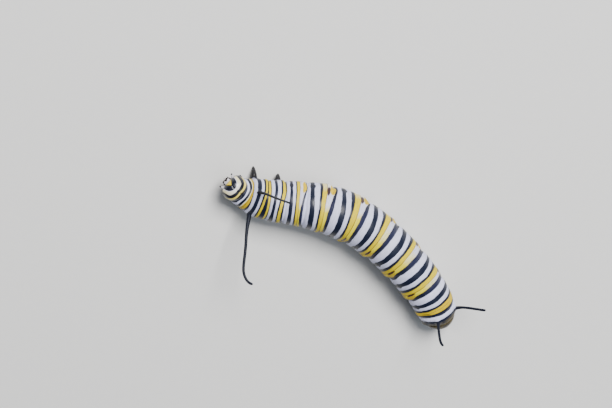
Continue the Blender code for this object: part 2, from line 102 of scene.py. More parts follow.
SEGMENTS = (
    Segment("thorax_1", 1.7, 0.52, 1.96, -8.0, 38.0, -10.0, 1.5,
        (0.01, 0.2, 0.53, 0.62, 0.69, 0.72, 0.87, 1.01),
        (0.01, 0.11, 0.38, 0.46, 0.6, 0.63, 0.85, 1.03),
        (0.1, 0.32, 0.54, 0.59, 0.65, 0.69, 0.84, 1.04)),
    Segment("thorax_2", 2.6, 0.28, 2.48, 13.0, 11.0, -9.0, 0.66,
        (0.16, 0.42, 0.56, 0.68, 0.79, 0.9, 1.05, 1.06),
        (0.15, 0.345, 0.46, 0.56, 0.665, 0.89, 1.01, 1.04),
        (0.135, 0.34, 0.45, 0.545, 0.64, 0.87, 0.945, 1.04)),
    Segment("thorax_3", 2.3, 0.32, 2.82, 25.0, 4.0, -7.0, 0.47,
        (0.27, 0.46, 0.66, 0.78, 0.86, 0.875, 0.95, 1.01),
        (0.18, 0.375, 0.52, 0.635, 0.7, 0.712, 0.775, 0.9),
        (0.145, 0.41, 0.54, 0.65, 0.725, 0.738, 0.81, 0.955)),
    Segment("abdomen_1", 2.85, 0.31, 2.95, 28.4, 1.0, -5.0, 0.45,
        (0.18, 0.33, 0.46, 0.52, 0.64, 0.665, 0.84, 0.93),
        (0.155, 0.365, 0.46, 0.54, 0.655, 0.68, 0.73, 0.88),
        (0.18, 0.39, 0.5, 0.6, 0.69, 0.73, 0.82, 0.965)),
    Segment("abdomen_2", 3.15, 0.28, 3.18, 26.2, -3.0, -2.0, 0.45,
        (0.115, 0.28, 0.47, 0.57, 0.71, 0.725, 0.95, 1.07),
        (0.16, 0.375, 0.51, 0.59, 0.725, 0.74, 0.87, 1.04),
        (0.19, 0.43, 0.56, 0.665, 0.785, 0.8, 0.93, 1.06)),
    Segment("abdomen_3", 4.6, 0.3, 3.33, 17.9, 1.0, 6.0, 0.45,
        (0.2, 0.325, 0.455, 0.545, 0.7, 0.71, 0.87, 0.975),
        (0.235, 0.4, 0.52, 0.58, 0.72, 0.735, 0.84, 0.99),
        (0.26, 0.455, 0.58, 0.66, 0.765, 0.78, 0.89, 1.02)),
    Segment("abdomen_4", 4.7, 0.3, 3.21, 0.4, 0.0, 18.0, 0.45,
        (0.125, 0.27, 0.425, 0.52, 0.68, 0.69, 0.83, 1.01),
        (0.19, 0.36, 0.49, 0.55, 0.67, 0.685, 0.835, 1.0),
        (0.25, 0.42, 0.54, 0.62, 0.72, 0.735, 0.86, 1.02)),
    Segment("abdomen_5", 4.85, 0.3, 3.11, -9.2, -5.0, 24.0, 0.45,
        (0.155, 0.32, 0.46, 0.56, 0.69, 0.7, 0.86, 1.02),
        (0.2, 0.38, 0.5, 0.57, 0.685, 0.7, 0.86, 1.02),
        (0.23, 0.395, 0.53, 0.62, 0.73, 0.745, 0.865, 1.015)),
    Segment("abdomen_6", 4.75, 0.3, 3.03, -15.9, -6.0, 25.0, 0.45,
        (0.19, 0.325, 0.46, 0.56, 0.71, 0.72, 0.81, 0.97),
        (0.205, 0.38, 0.5, 0.57, 0.7, 0.712, 0.82, 0.98),
        (0.23, 0.39, 0.515, 0.6, 0.71, 0.725, 0.83, 0.975)),
    Segment("abdomen_7", 3.48, 0.3, 2.87, -21.4, -3.0, 27.0, 0.45,
        (0.165, 0.34, 0.49, 0.62, 0.72, 0.725, 0.81, 1.0),
        (0.205, 0.39, 0.53, 0.62, 0.72, 0.725, 0.84, 1.02),
        (0.235, 0.415, 0.55, 0.65, 0.74, 0.745, 0.81, 0.985)),
    Segment("abdomen_8", 1.55, 0.44, 2.63, -32.6, 5.0, 31.0, 0.45,
        (0.33, 0.6), (0.29, 0.57), (0.3, 0.64)),
    Segment("tail", 1.5, 0.5, 2.05, -38.3, 13.0, 30.0, 0.45),
)
NAMES = [segment.name for segment in SEGMENTS]
LAST = len(SEGMENTS) - 1


def unit(vectors: Array) -> Array:
    """Return vectors scaled to length one, along the last axis."""
    return vectors / np.maximum(np.linalg.norm(vectors, axis=-1, keepdims=True), TINY)


def soft_step(low: float, high: float, value: Array) -> Array:
    """Return a smooth rise from 0 at low to 1 at high."""
    share = np.clip((value - low) / (high - low), 0.0, 1.0)
    return share * share * (3 - 2 * share)


def bell(value: Array) -> Array:
    """Return a bell curve that is 1 at zero and falls off by one."""
    return np.exp(-value * value)


def ridge(form: Triple, value: Array) -> Array:
    """Return a rounded ridge, of a height, place and width, at values across it."""
    height, place, width = form
    return height * bell((value - place) / width)


def wrapped(angle: Array) -> Array:
    """Return angles between -180 and 180 degrees."""
    return (angle + 180.0) % 360.0 - 180.0


def around(angle: Array) -> tuple[Array, Array]:
    """Return the cosines and sines of angles as columns."""
    turn = np.radians(angle)[..., None]
    return np.cos(turn), np.sin(turn)


def running(steps: Array) -> Array:
    """Return the running sum of steps, from zero."""
    return np.concatenate([[0.0], np.cumsum(steps)])


def gathered(places: Array, weight: Array) -> Array:
    """Return the running sum of a weight over places, by which points crowd where it is high."""
    return running((weight[1:] + weight[:-1]) / 2 * np.diff(places))


def smooth_run(stations: Sequence[float], values: Sequence[float], place: Array) -> Array:
    """Interpolate smoothly through values, as the CAD's own curve does.

    Args:
        stations: Rising places of the values.
        values: The values there.
        place: Places to read.

    Returns:
        The values at those places.
    """
    x, y = np.asarray(stations, float), np.asarray(values, float)
    before = np.maximum(np.arange(len(x)) - 1, 0)
    after = np.minimum(np.arange(len(x)) + 1, len(x) - 1)
    slope = (y[after] - y[before]) / (x[after] - x[before])
    place = np.clip(place, x[0], x[-1])
    i = np.clip(np.searchsorted(x, place, side="right") - 1, 0, len(x) - 2)
    width = x[i + 1] - x[i]
    t = (place - x[i]) / width
    rise = y[i] * (1 + 2 * t) * (1 - t) ** 2 + y[i + 1] * t * t * (3 - 2 * t)
    return rise + width * (slope[i] * t * (1 - t) ** 2 - slope[i + 1] * t * t * (1 - t))


@dataclass
class Spine:
    """The centre line from the neck to the tail, the same as the CAD's."""

    anchor_segment: int = 5
    anchor: Span = (4.8048, -4.9038)
    end_heading: float = -44.0
    end_pitch: float = 32.0
    end_roll: float = 24.0
    end_radius: float = 1.6
    neck_radius: float = 1.76
    step: float = 0.05
    joints: Array = field(init=False)
    bands: Array = field(init=False)
    line: Array = field(init=False)

    def __post_init__(self) -> None:
        """Walk the line once from the neck and shift it onto its anchor."""
        self.joints = running([row.length for row in SEGMENTS])
        self.bands = self.joints[:-1] + np.array([row.band * row.length for row in SEGMENTS])
        count = int(self.joints[-1] / self.step) + 2
        turn = np.radians(self.heading((np.arange(count) + 0.5) * self.step))
        steps = np.stack([-np.cos(turn), -np.sin(turn)], axis=1) * self.step
        self.line = np.vstack([[0.0, 0.0], np.cumsum(steps, axis=0)])
        self.line += np.array(self.anchor) - self.plan(self.bands[self.anchor_segment])

    @staticmethod
    def column(name: str, end: float) -> list[float]:
        """Return one value of every segment, and its value at the tail's end."""
        return [getattr(row, name) for row in SEGMENTS] + [end]

    def heading(self, s: Array) -> Array:
        """Return the heading of the head direction, from +X."""
        return np.interp(s, self.joints, self.column("heading", self.end_heading))

    def roll(self, s: Array) -> Array:
        """Return how far the dorsal line leans to the right."""
        return smooth_run(self.joints, self.column("roll", self.end_roll), s)

    def radius(self, s: Array) -> Array:
        """Return the body's radius before joints, belly and lobes shape it."""
        stations = [0.0, *self.bands, self.joints[-1]]
        return smooth_run(stations, [self.neck_radius, *self.column("radius", self.end_radius)], s)

    def plan(self, s: Array) -> Array:
        """Return the centre line's place in plan."""
        stations = np.arange(len(self.line)) * self.step
        return np.stack([np.interp(s, stations, self.line[:, k]) for k in (0, 1)], axis=-1)

    def frame(self, s: Array) -> tuple[Array, Array, Array, Array]:
        """Find the spine's own axes.

        Args:
            s: Distances from the neck.

        Returns:
            Centre, forward, left and up, each with three columns.
        """
        s = np.asarray(s, float)
        heading = np.radians(self.heading(s))
        pitch = np.interp(s, self.joints, self.column("pitch", self.end_pitch))
        belly = smooth_run(self.joints, self.column("belly", SEGMENTS[-1].belly), s)
        centre = np.concatenate([self.plan(s), (self.radius(s) + belly)[..., None]], axis=-1)
        zero = np.zeros_like(heading)
        ahead = np.stack([np.cos(heading), np.sin(heading), zero], axis=-1)
        left = np.stack([-np.sin(heading), np.cos(heading), zero], axis=-1)
        level, rise = around(pitch)
        forward = ahead * level + TOP * rise
        return centre, forward, left, np.cross(forward, left)

    def segment_at(self, s: Array) -> tuple[Array, Array]:
        """Return the index of the segment at each place and the fraction of its length there."""
        index = np.clip(np.searchsorted(self.joints, s, side="left") - 1, 0, LAST)
        return index, (s - self.joints[index]) / np.diff(self.joints)[index]

    def place(self, name: str, along: float) -> float:
        """Return the distance from the neck of a fraction along a named segment."""
        index = NAMES.index(name)
        return float(self.joints[index] + along * SEGMENTS[index].length)


def make_mesh(name: str, points: Array, faces: Iterable[Sequence[int]],
              materials: Sequence[Material] = (),
              marks: Union[Sequence[int], None] = None) -> Piece:
    """Make an object at the origin from points in millimetres.

    Args:
        name: Name of the piece.
        points: Rows of x, y and z.
        faces: Corner numbers of each face.
        materials: Its material slots in order.
        marks: The slot of each face, where it has more than one.

    Returns:
        The object, shaded smooth, with its normals outwards.
    """
    mesh = bpy.data.meshes.new(name)
    mesh.from_pydata((np.asarray(points) * MM).tolist(), [], [list(face) for face in faces])
    shape = bmesh.new()
    shape.from_mesh(mesh)
    bmesh.ops.recalc_face_normals(shape, faces=shape.faces)
    shape.to_mesh(mesh)
    shape.free()
    for material in materials:
        mesh.materials.append(material)
    if marks is not None:
        mesh.polygons.foreach_set("material_index", marks)
    mesh.shade_smooth()
    return put_in(name, mesh)


def put_in(name: str, data: bpy.types.ID) -> Piece:
    """Put data into the scene.

    Args:
        name: Name of the object.
        data: Its mesh, lamp or lens.

    Returns:
        The new object.
    """
    item = bpy.data.objects.new(name, data)
    bpy.context.scene.collection.objects.link(item)
    return item


def add_value(item: Piece, name: str, values: Array) -> None:
    """Store one number for each point of a mesh under a name that its material reads."""
    made = item.data.attributes.new(name, "FLOAT", "POINT")
    made.data.foreach_set("value", np.asarray(values, np.float32).ravel())


def add_way(item: Piece, name: str, values: Array) -> None:
    """Store one vector for each point of a mesh."""
    made = item.data.attributes.new(name, "FLOAT_VECTOR", "POINT")
    made.data.foreach_set("vector", np.asarray(values, np.float32).ravel())


def tube(rings: Array, start: int = 0) -> tuple[Array, Faces]:
    """Close rings of points into a solid with a point at each end.

    Args:
        rings: Points by ring and side.
        start: Number of the first point in its mesh.

    Returns:
        The points in one list, and the faces.
    """
    count, sides, _ = rings.shape
    points = np.vstack([rings.reshape(-1, 3), rings[0].mean(0), rings[-1].mean(0)])
    turns = [(j, (j + 1) % sides) for j in range(sides)]
    faces = []
    for i in range(count - 1):
        low, high = start + i * sides, start + (i + 1) * sides
        faces += [(low + j, low + k, high + k, high + j) for j, k in turns]
    first, last = start + count * sides, start + count * sides + 1
    end = start + (count - 1) * sides
    for j, k in turns:
        faces += [(first, start + k, start + j), (last, end + j, end + k)]
    return points, faces


def sweep(path: Array, radii: Array, sides: int, side: Sequence[float], flat: float = 1.0) -> Array:
    """Return rings across a path, turned as little as possible from one to the next.

    Args:
        path: Points along the middle.
        radii: Radius at each point.
        sides: Corners of each ring.
        side: Direction in which the rings start.
        flat: Share of the radius that the second half width has.

    Returns:
        Points by ring and side.
    """
    ways = unit(np.gradient(path, axis=0))
    turn = np.linspace(0.0, math.tau, sides, endpoint=False)
    rings, first = [], np.asarray(side, float)
    for point, way, radius in zip(path, ways, radii):
        first = unit(first - way * first.dot(way))
        second = np.cross(way, first)
        ring = np.outer(np.cos(turn), first) + np.outer(np.sin(turn), second) * flat
        rings.append(point + ring * radius)
    return np.array(rings)


@dataclass(frozen=True)
class Socket:
    """A link in a material's tree, with the arithmetic that the finishes are written in."""

    tree: bpy.types.NodeTree
    link: bpy.types.NodeSocket

    def work(self, operation: str, *others: Term, clamp: bool = False) -> "Socket":
        """Add one Math node and return its result."""
        return maths(self.tree, operation, (self, *others), clamp)

    def __add__(self, other: Term) -> "Socket":
        """Add."""
        return self.work("ADD", other)

    def __radd__(self, other: Number) -> "Socket":
        """Add to a plain number."""
        return maths(self.tree, "ADD", (other, self))

    def __sub__(self, other: Term) -> "Socket":
        """Subtract."""
        return self.work("SUBTRACT", other)

    def __rsub__(self, other: Number) -> "Socket":
        """Subtract from a plain number."""
        return maths(self.tree, "SUBTRACT", (other, self))

    def __mul__(self, other: Term) -> "Socket":
        """Multiply."""
        return self.work("MULTIPLY", other)

    def __rmul__(self, other: Number) -> "Socket":
        """Multiply a plain number."""
        return maths(self.tree, "MULTIPLY", (other, self))

    def __truediv__(self, other: Term) -> "Socket":
        """Divide."""
        return self.work("DIVIDE", other)

    def rise(self, low: Number, high: Number) -> "Socket":
        """Return a clamped rise from 0 at low to 1 at high."""
        return (self - low).work("DIVIDE", high - low, clamp=True)

    def below(self, limit: Number, soft: Number) -> "Socket":
        """Return 1 under a limit and 0 over it, with a soft edge."""
        return 1 - self.rise(limit - soft, limit + soft)

    def within(self, span: Span, soft: Number = 0.004) -> "Socket":
        """Return 1 between two values and 0 outside them, with soft edges."""
        return self.rise(span[0] - soft, span[0] + soft).both(self.below(span[1], soft))

    def near(self, place: Number, fade: Span) -> "Socket":
        """Return 1 round a value and 0 away from it."""
        return 1 - (self - place).work("ABSOLUTE").rise(*fade)

    def both(self, other: "Socket") -> "Socket":
        """Return the lesser of two masks."""
        return self.work("MINIMUM", other)

    def distance(self, other: "Socket") -> "Socket":
        """Return the length of the right angle that two values span."""
        return (self * self + other * other).work("SQRT")


Value = Union[Socket, bpy.types.NodeSocket, bpy.types.ID, Number, Sequence[float], str]


def join(tree: bpy.types.NodeTree, socket: bpy.types.NodeSocket, value: Value) -> None:
    """Give a socket its value.

    Args:
        tree: The tree of nodes.
        socket: The input.
        value: A link or a plain value.
    """
    if isinstance(value, Socket):
        tree.links.new(value.link, socket)
    elif isinstance(value, bpy.types.NodeSocket):
        tree.links.new(value, socket)
    else:
        socket.default_value = value


def add_node(tree: bpy.types.NodeTree, kind: str, settings: Union[dict, None] = None,
             values: Union[dict, None] = None) -> bpy.types.Node:
    """Add a node of any type.

    Args:
        tree: The tree of nodes.
        kind: The node's type.
        settings: Its own settings, set first; stops fills a colour ramp.
        values: Values or links of its sockets, by name or number.

    Returns:
        The node.
    """
    made = tree.nodes.new(kind)
    for key, value in (settings or {}).items():
        if key == "stops":
            fill_ramp(made.color_ramp, value)
        else:
            setattr(made, key, value)
    for key, value in (values or {}).items():
        join(tree, made.inputs[key], value)
    return made


def fill_ramp(ramp: bpy.types.ColorRamp, stops: Sequence[tuple[float, Colour]]) -> None:
    """Set a ramp's stops.

    Args:
        ramp: The new ramp.
        stops: Place and colour of each stop, in rising order.
    """
    while len(ramp.elements) < len(stops):
        ramp.elements.new(1.0)
    for element, (place, colour) in zip(ramp.elements, stops):
        element.position = place
        element.color = (*colour, 1.0)


def maths(tree: bpy.types.NodeTree, operation: str, values: Sequence[Union[Socket, Number]],
          clamp: bool = False) -> Socket:
    """Add one Math node and return its result."""
    settings = {"operation": operation, "use_clamp": clamp}
    return Socket(tree, add_node(tree, "ShaderNodeMath", settings, dict(enumerate(values))).outputs[0])


def striped(bands: Sequence[tuple[float, Colour]], soft: float) -> list[tuple[float, Colour]]:
    """Return ramp stops for plain bands with narrow soft edges.

    Args:
        bands: The place where each band ends, and its colour.
        soft: Half width of each edge.

    Returns:
        Stops in rising order.
    """
    stops = [(0.0, bands[0][1])]
    for (end, colour), (_, following) in zip(bands, bands[1:]):
        stops += [(end - soft, colour), (end + soft, following)]
    return stops + [(1.0, bands[-1][1])]


class Recipe:
    """One material's tree, written node by node around its Principled shader."""

    def __init__(self, name: str) -> None:
        """Start a material with a bare Principled shader.

        Args:
            name: The material's name.
        """
        self.material = bpy.data.materials.new(name)
        self.material.use_nodes = True
        self.tree = self.material.node_tree
        self.shader = self.tree.nodes["Principled BSDF"]

    def node(self, kind: str, values: dict, result: Union[int, str] = 0, **settings: object) -> Socket:
        """Add a node of any type and return one of its outputs."""
        return Socket(self.tree, add_node(self.tree, kind, settings, values).outputs[result])

    def read(self, name: str) -> Socket:
        """Read a value that the mesh carries."""
        return self.node("ShaderNodeAttribute", {}, "Fac", attribute_type="GEOMETRY", attribute_name=name)

    def place(self) -> Socket:
        """Read the place on the object."""
        return self.node("ShaderNodeTexCoord", {}, "Object")

    def noise(self, vector: Socket, scale: float, detail: float = 2.0, rough: float = 0.5) -> Socket:
        """Return even noise between 0 and 1."""
        values = {"Vector": vector, "Scale": scale, "Detail": detail, "Roughness": rough}
        return self.node("ShaderNodeTexNoise", values, "Fac")

    def join_values(self, *parts: Value) -> Socket:
        """Return a vector of three values."""
        return self.node("ShaderNodeCombineXYZ", dict(zip("XYZ", parts)))

    def grey(self, colour: Socket) -> Socket:
        """Return how light a colour is."""
        return self.node("ShaderNodeRGBToBW", {"Color": colour})

    def blend(self, mask: Value, under: Value, over: Value, way: str = "MIX") -> Socket:
        """Lay one colour over another with one Mix node.

        Args:
            mask: How far the second colour shows.
            under: The first colour.
            over: The second colour.
            way: How the second acts on the first.

        Returns:
            The colour.
        """
        factor, first, second, result = 0, 6, 7, 2
        values = {factor: mask}
        for key, colour in ((first, under), (second, over)):
            values[key] = colour if isinstance(colour, Socket) else (*colour, 1.0)
        return self.node("ShaderNodeMix", values, result, data_type="RGBA", blend_type=way)

    def shade(self, colour: Socket, share: Socket) -> Socket:
        """Multiply a colour by a grey share."""
        return self.blend(1.0, colour, self.join_values(share, share, share), "MULTIPLY")

    def ramp(self, value: Socket, stops: Sequence[tuple[float, Colour]]) -> Socket:
        """Return the colour that a run of stops has at a value."""
        return self.node("ShaderNodeValToRGB", {"Fac": value}, "Color", stops=stops)

    def bump(self, height: Socket, depth: float, strength: float) -> None:
        """Let a height move the surface's normal."""
        values = {"Height": height, "Distance": depth * MM, "Strength": strength}
        join(self.tree, self.shader.inputs["Normal"], self.node("ShaderNodeBump", values, "Normal"))

    def finish(self, **inputs: Value) -> Material:
        """Set the shader's own inputs.

        Args:
            inputs: Values or links by name, with _ for a space.

        Returns:
            The finished material.
        """
        for name, value in inputs.items():
            join(self.tree, self.shader.inputs[name.replace("_", " ")], value)
        return self.material


class Hue(Enum):
    """The skin's colours, some also laid as painted shade, highlights and sheen."""

    # WHITE is also laid as a painted highlight low on the right of the pale yellow.
    WHITE = (0.73, 0.75, 1.0)
    # Blue-black; its blue is partly a painted sky reflection.
    BLACK = (0.009, 0.013, 0.032)
    # Painted sheen: a bluish violet laid on the rear black along the top.
    VIOLET = (0.025, 0.028, 0.07)
    YELLOW = (0.78, 0.6, 0.0)
    PALE = (0.88, 0.74, 0.02)
    # CREAM is also laid as a painted highlight on the yellows, on top and on the right.
    CREAM = (0.92, 0.88, 0.62)
    BROWN = (0.16, 0.07, 0.015)
    # GOLD is also laid as painted shade on the yellows of the left flank.
    GOLD = (0.68, 0.46, 0.0)
    AMBER = (0.72, 0.5, 0.0)
    SMUDGE = (0.04, 0.016, 0.018)
    OLIVE = (0.1, 0.078, 0.03)
    SOLE = (0.26, 0.22, 0.19)


@dataclass(frozen=True)
class Pattern:
    """The stripes of the segments before a limit: where each ends, its hue and its soft edge."""

    limit: float
    levels: Stripes
    hues: tuple[Hue, ...]
    edge: float = 0.005

    def stops(self) -> list[tuple[float, Colour]]:
        """Return the colour ramp's stops."""
        return striped([(end, hue.value) for end, hue in zip((*self.levels, 1.0), self.hues)], self.edge)


FRONT_STRIPES = (Hue.WHITE, Hue.BLACK, Hue.WHITE, Hue.BLACK)
PATTERNS = (
    Pattern(12.0, LEVELS, (*FRONT_STRIPES, Hue.YELLOW, Hue.BROWN, Hue.PALE, Hue.BLACK, Hue.WHITE)),
    Pattern(3.0, LEVELS, (*FRONT_STRIPES, Hue.YELLOW, Hue.YELLOW, Hue.YELLOW, Hue.BLACK, Hue.WHITE)),
    Pattern(2.0, SPOT_LEVELS, (*FRONT_STRIPES, Hue.YELLOW, Hue.BLACK, Hue.YELLOW, Hue.BLACK, Hue.WHITE)),
    Pattern(1.0, COLLAR_LEVELS, (Hue.BLACK, Hue.WHITE, Hue.BLACK, Hue.CREAM, Hue.GOLD, Hue.BROWN, Hue.GOLD,
                                 Hue.BLACK, Hue.BLACK), 0.009),
)


@dataclass(frozen=True)
class Oval:
    """An oval mark on each side of some rings: its middle and half widths along a ring and round it."""

    hue: Hue
    rings: Span
    level: float
    half_level: float
    angle: float
    half_angle: float
    soft: float


# The dark mark before each yellow blob, the round of black at the breathing hole, and the blob.
OVALS = (
    Oval(Hue.SMUDGE, (4.0, 10.0), 0.744, 0.032, 64.0, 14.4, 0.15),
    Oval(Hue.BLACK, (3.0, 11.0), 0.275, 0.105, 78.0, 9.36, 0.06),
    Oval(Hue.AMBER, (3.0, 10.0), 0.82, 0.05, 73.0, 18.9, 0.08),
)


@dataclass
class SkinSheet:
    """The skin's colour while its layers are laid on, and the values that they read.

    Band is the ring's number plus the level among its stripes, level the part after the point, turn the
    angle from the dorsal line over 180, left its sine, foot the share of the way out of a proleg, and
    wander a slow noise.
    """

    recipe: Recipe
    colour: Socket
    band: Socket
    level: Socket
    turn: Socket
    left: Socket
    foot: Socket
    wander: Socket

    def lay(self, mask: Socket, hue: Hue) -> None:
        """Lay a hue over the colour."""
        self.colour = self.recipe.blend(mask, self.colour, hue.value)


@dataclass(frozen=True)
class SkinFinish:
    """The banded skin: lilac whites, blue blacks and yellows, finely creased, with painted shade, highlights
    and sheen laid over the stripes.
    """

    wobble: float = 0.04
    wobble_size: float = 1.1
    fray: float = 0.01
    fray_size: float = 0.22
    pattern_edge: float = 0.002
    streaks: Span = (75.0, 9.0)
    streak_rise: Span = (0.28, 0.62)
    streak_shade: Span = (0.66, 0.4)
    grain_size: float = 0.11
    grain_shade: float = 0.12
    bump_depth: float = 0.035
    bump_strength: float = 0.55
    roughness: float = 0.36
    dark_roughness: float = 0.16
    grain_roughness: float = 0.1
    gloss: float = 0.3
    streak_bump: float = 0.55
    dark: Span = (0.02, 0.3)
    ring_edge: float = 0.01
    pale_levels: Span = (0.718, 0.86)
    pale_rings: Span = (3.0, 9.0)
    # Painted highlight: cream on the pale yellow along the top.
    highlight_rings: Span = (6.0, 9.0)
    highlight_middle: float = -0.05
    highlight_fade: Span = (0.1, 0.42)
    highlight_share: float = 0.62
    # Painted highlight: white on the pale yellow of the lit right side.
    lit_side_right: Span = (0.12, 0.45)
    lit_side_share: float = 0.92
    # Painted sheen: a bluish violet on the rear black band along the top.
    sheen_levels: Span = (0.862, 0.983)
    sheen_middle: float = -0.15
    sheen_fade: Span = (0.3, 0.75)
    sheen_share: float = 0.85
    late_levels: Span = (0.698, 0.724)
    late_ring: Span = (3.0, 4.0)
    late_left: Span = (0.0, 0.3)
    lit: Span = (0.1, 0.25)
    yellow_levels: Span = (0.562, 0.955)
    yellow_from: Span = (1.0, 1.02)
    # Painted shade: darker gold on the yellows of the shaded left flank.
    flank_shade_turn: Span = (0.26, 0.52)
    flank_shade_left: Span = (-0.2, 0.3)
    flank_shade_share: float = 0.7
    flank_shade_wander: float = 0.5
    # Painted highlight: cream on the yellows of the lit right flank.
    highlight_cream_turn: Span = (0.33, 0.46)
    highlight_cream_right: Span = (0.2, 0.5)
    highlight_cream_rings: Span = (4.0, 9.0)
    highlight_cream_share: float = 0.6
    last_ring: Span = (9.01, 10.0)
    last_share: float = 0.9
    tail_from: Span = (10.338, 10.35)
    patch_size: float = 0.65
    patch_rise: Span = (0.42, 0.62)
    patch_share: float = 0.75
    # Painted shade: black over the underside.
    underside_shade_turn: Span = (0.58, 0.74)
    underside_shade_share: float = 0.88
    underside_shade_wander: float = 0.1
    foot_wander: float = 0.12
    foot_edge: float = 0.03
    wall_edge: float = 0.04
    wall_end: float = 1.12
    blotch_end: float = 1.02
    blotch_rise: Span = (0.74, 0.8)
    blotch_turn: float = 0.775
    blotch_edge: float = 0.008
    blotch_share: float = 0.9
    sole_end: float = 0.47

    def build(self) -> Material:
        """Make the material; the mesh carries band, turn, left and foot.

        Returns:
            The material.
        """
        recipe = Recipe("banded_skin")
        spot = recipe.place()
        wander = recipe.noise(spot, 1 / (self.wobble_size * MM), 2.0, 0.5)
        fray = recipe.noise(spot, 1 / (self.fray_size * MM), 2.0, 0.6)
        band = recipe.read("band") + (wander - 0.5) * self.wobble + (fray - 0.5) * self.fray
        level = band.work("FRACT")
        on = SkinSheet(recipe, recipe.ramp(level, PATTERNS[0].stops()), band, level, recipe.read("turn"),
                       recipe.read("left"), recipe.read("foot"), wander)
        for pattern in PATTERNS[1:]:
            stripes = recipe.ramp(level, pattern.stops())
            on.colour = recipe.blend(band.below(pattern.limit, self.pattern_edge), on.colour, stripes)
        self.paint_highlights_and_sheen(on)
        self.shade_and_light_yellows(on)
        self.mark_sides(on)
        along, across = self.streaks
        streaks = recipe.noise(recipe.join_values(band * along, on.turn * across, 0.0), 1.0, 3.0, 0.65)
        grain = recipe.noise(spot, 1 / (self.grain_size * MM), 2.0, 0.6)
        # Painted shade in the fine creases, where the streaks' bump sinks, with a random tone from the
        # grain.
        least, more = self.streak_shade
        shade = least + more * streaks.rise(*self.streak_rise) + self.grain_shade * (grain - 0.5)
        on.colour = recipe.shade(on.colour, shade)
        # Painted shade: black laid over the underside, where the body turns away from the light.
        belly = (on.turn + (wander - 0.5) * self.underside_shade_wander).rise(*self.underside_shade_turn)
        on.lay(belly * self.underside_shade_share, Hue.BLACK)
        self.dress_feet(on)
        recipe.bump(self.streak_bump * streaks + (1 - self.streak_bump) * grain, self.bump_depth,
                    self.bump_strength)
        dark = recipe.grey(on.colour).rise(*self.dark)
        rough = self.roughness + self.dark_roughness * dark + self.grain_roughness * (grain - 0.5)
        return recipe.finish(Base_Color=on.colour, Roughness=rough, Specular_IOR_Level=self.gloss)

    def paint_highlights_and_sheen(self, on: SkinSheet) -> None:
        """Paint light on the stripes: cream on top and white low on the right of the pale yellow as painted
        highlights, and a painted violet sheen on the rear black.

        Args:
            on: The skin with its plain stripes.
        """
        rings, pale = on.band.within(self.pale_rings), on.level.within(self.pale_levels)
        # Painted highlight: the pale yellow goes cream along the top, where the light catches it.
        top_highlight = on.left.near(self.highlight_middle, self.highlight_fade) * on.band.within(self.highlight_rings)
        on.lay(pale.both(top_highlight * self.highlight_share), Hue.CREAM)
        # Painted highlight: the pale yellow goes white low on the lit right side.
        on.lay(pale.both((on.left * -1).rise(*self.lit_side_right) * rings) * self.lit_side_share, Hue.WHITE)
        # Painted sheen: the rear black turns bluish violet along the top, as a sky reflection would make it.
        rear = on.level.within(self.sheen_levels) * on.left.near(self.sheen_middle, self.sheen_fade)
        on.lay(rear * rings * self.sheen_share, Hue.VIOLET)
        late = on.level.within(self.late_levels) * on.band.within(self.late_ring, self.ring_edge)
        on.lay(late * on.left.rise(*self.late_left), Hue.BLACK)

    def shade_and_light_yellows(self, on: SkinSheet) -> None:
        """Paint shade and light on the yellows: darker gold on the left flank as painted shade and cream on
        the right as a painted highlight; deepen the last ring and dull the tail.

        Args:
            on: The skin with its stripes.
        """
        recipe = on.recipe
        lit = recipe.grey(on.colour).rise(*self.lit)
        yellows = on.level.within(self.yellow_levels).both(on.band.rise(*self.yellow_from)).both(lit)
        # Painted shade: the yellows go darker gold on the shaded left flank.
        low = on.turn.rise(*self.flank_shade_turn) * on.left.rise(*self.flank_shade_left) * self.flank_shade_share
        on.lay(yellows * (low + (on.wander - 0.5) * self.flank_shade_wander).rise(0.0, 1.0), Hue.GOLD)
        # Painted highlight: the yellows go cream on the lit right flank.
        high = on.turn.rise(*self.highlight_cream_turn) * (on.left * -1).rise(*self.highlight_cream_right)
        on.lay(yellows * (high * on.band.within(self.highlight_cream_rings)) * self.highlight_cream_share, Hue.CREAM)
        last = yellows.both(on.band.within(self.last_ring, self.ring_edge))
        on.lay(last * self.last_share, Hue.AMBER)
        patchy = recipe.noise(recipe.place(), 1 / (self.patch_size * MM), 2.0, 0.6).rise(*self.patch_rise)
        tail = recipe.blend(patchy * self.patch_share, Hue.OLIVE.value, Hue.BLACK.value)
        on.colour = recipe.blend(on.band.rise(*self.tail_from), on.colour, tail)

    def mark_sides(self, on: SkinSheet) -> None:
        """Paint the oval marks on each side.

        Args:
            on: The skin with its stripes.
        """
        for oval in OVALS:
            along = (on.level - oval.level) / oval.half_level
            across = (on.turn - oval.angle / 180.0) / (oval.half_angle / 180.0)
            mask = along.distance(across).below(1.0, oval.soft)
            on.lay(mask.both(on.band.within(oval.rings)), oval.hue)

    def dress_feet(self, on: SkinSheet) -> None:
        """Make the prolegs black with a pale blotch outside and a grey sole.

        Args:
            on: The finished skin of the body.
        """
        wall = on.foot + (on.wander - 0.5) * self.foot_wander
        on.lay(wall.below(self.wall_end, self.wall_edge), Hue.BLACK)
        blotch = on.foot.below(self.blotch_end, self.foot_edge).both(on.foot.rise(*self.blotch_rise))
        blotch = blotch.both(on.turn.below(self.blotch_turn, self.blotch_edge))
        on.lay(blotch * self.blotch_share, Hue.WHITE)
        on.lay(on.foot.below(self.sole_end, self.foot_edge), Hue.SOLE)


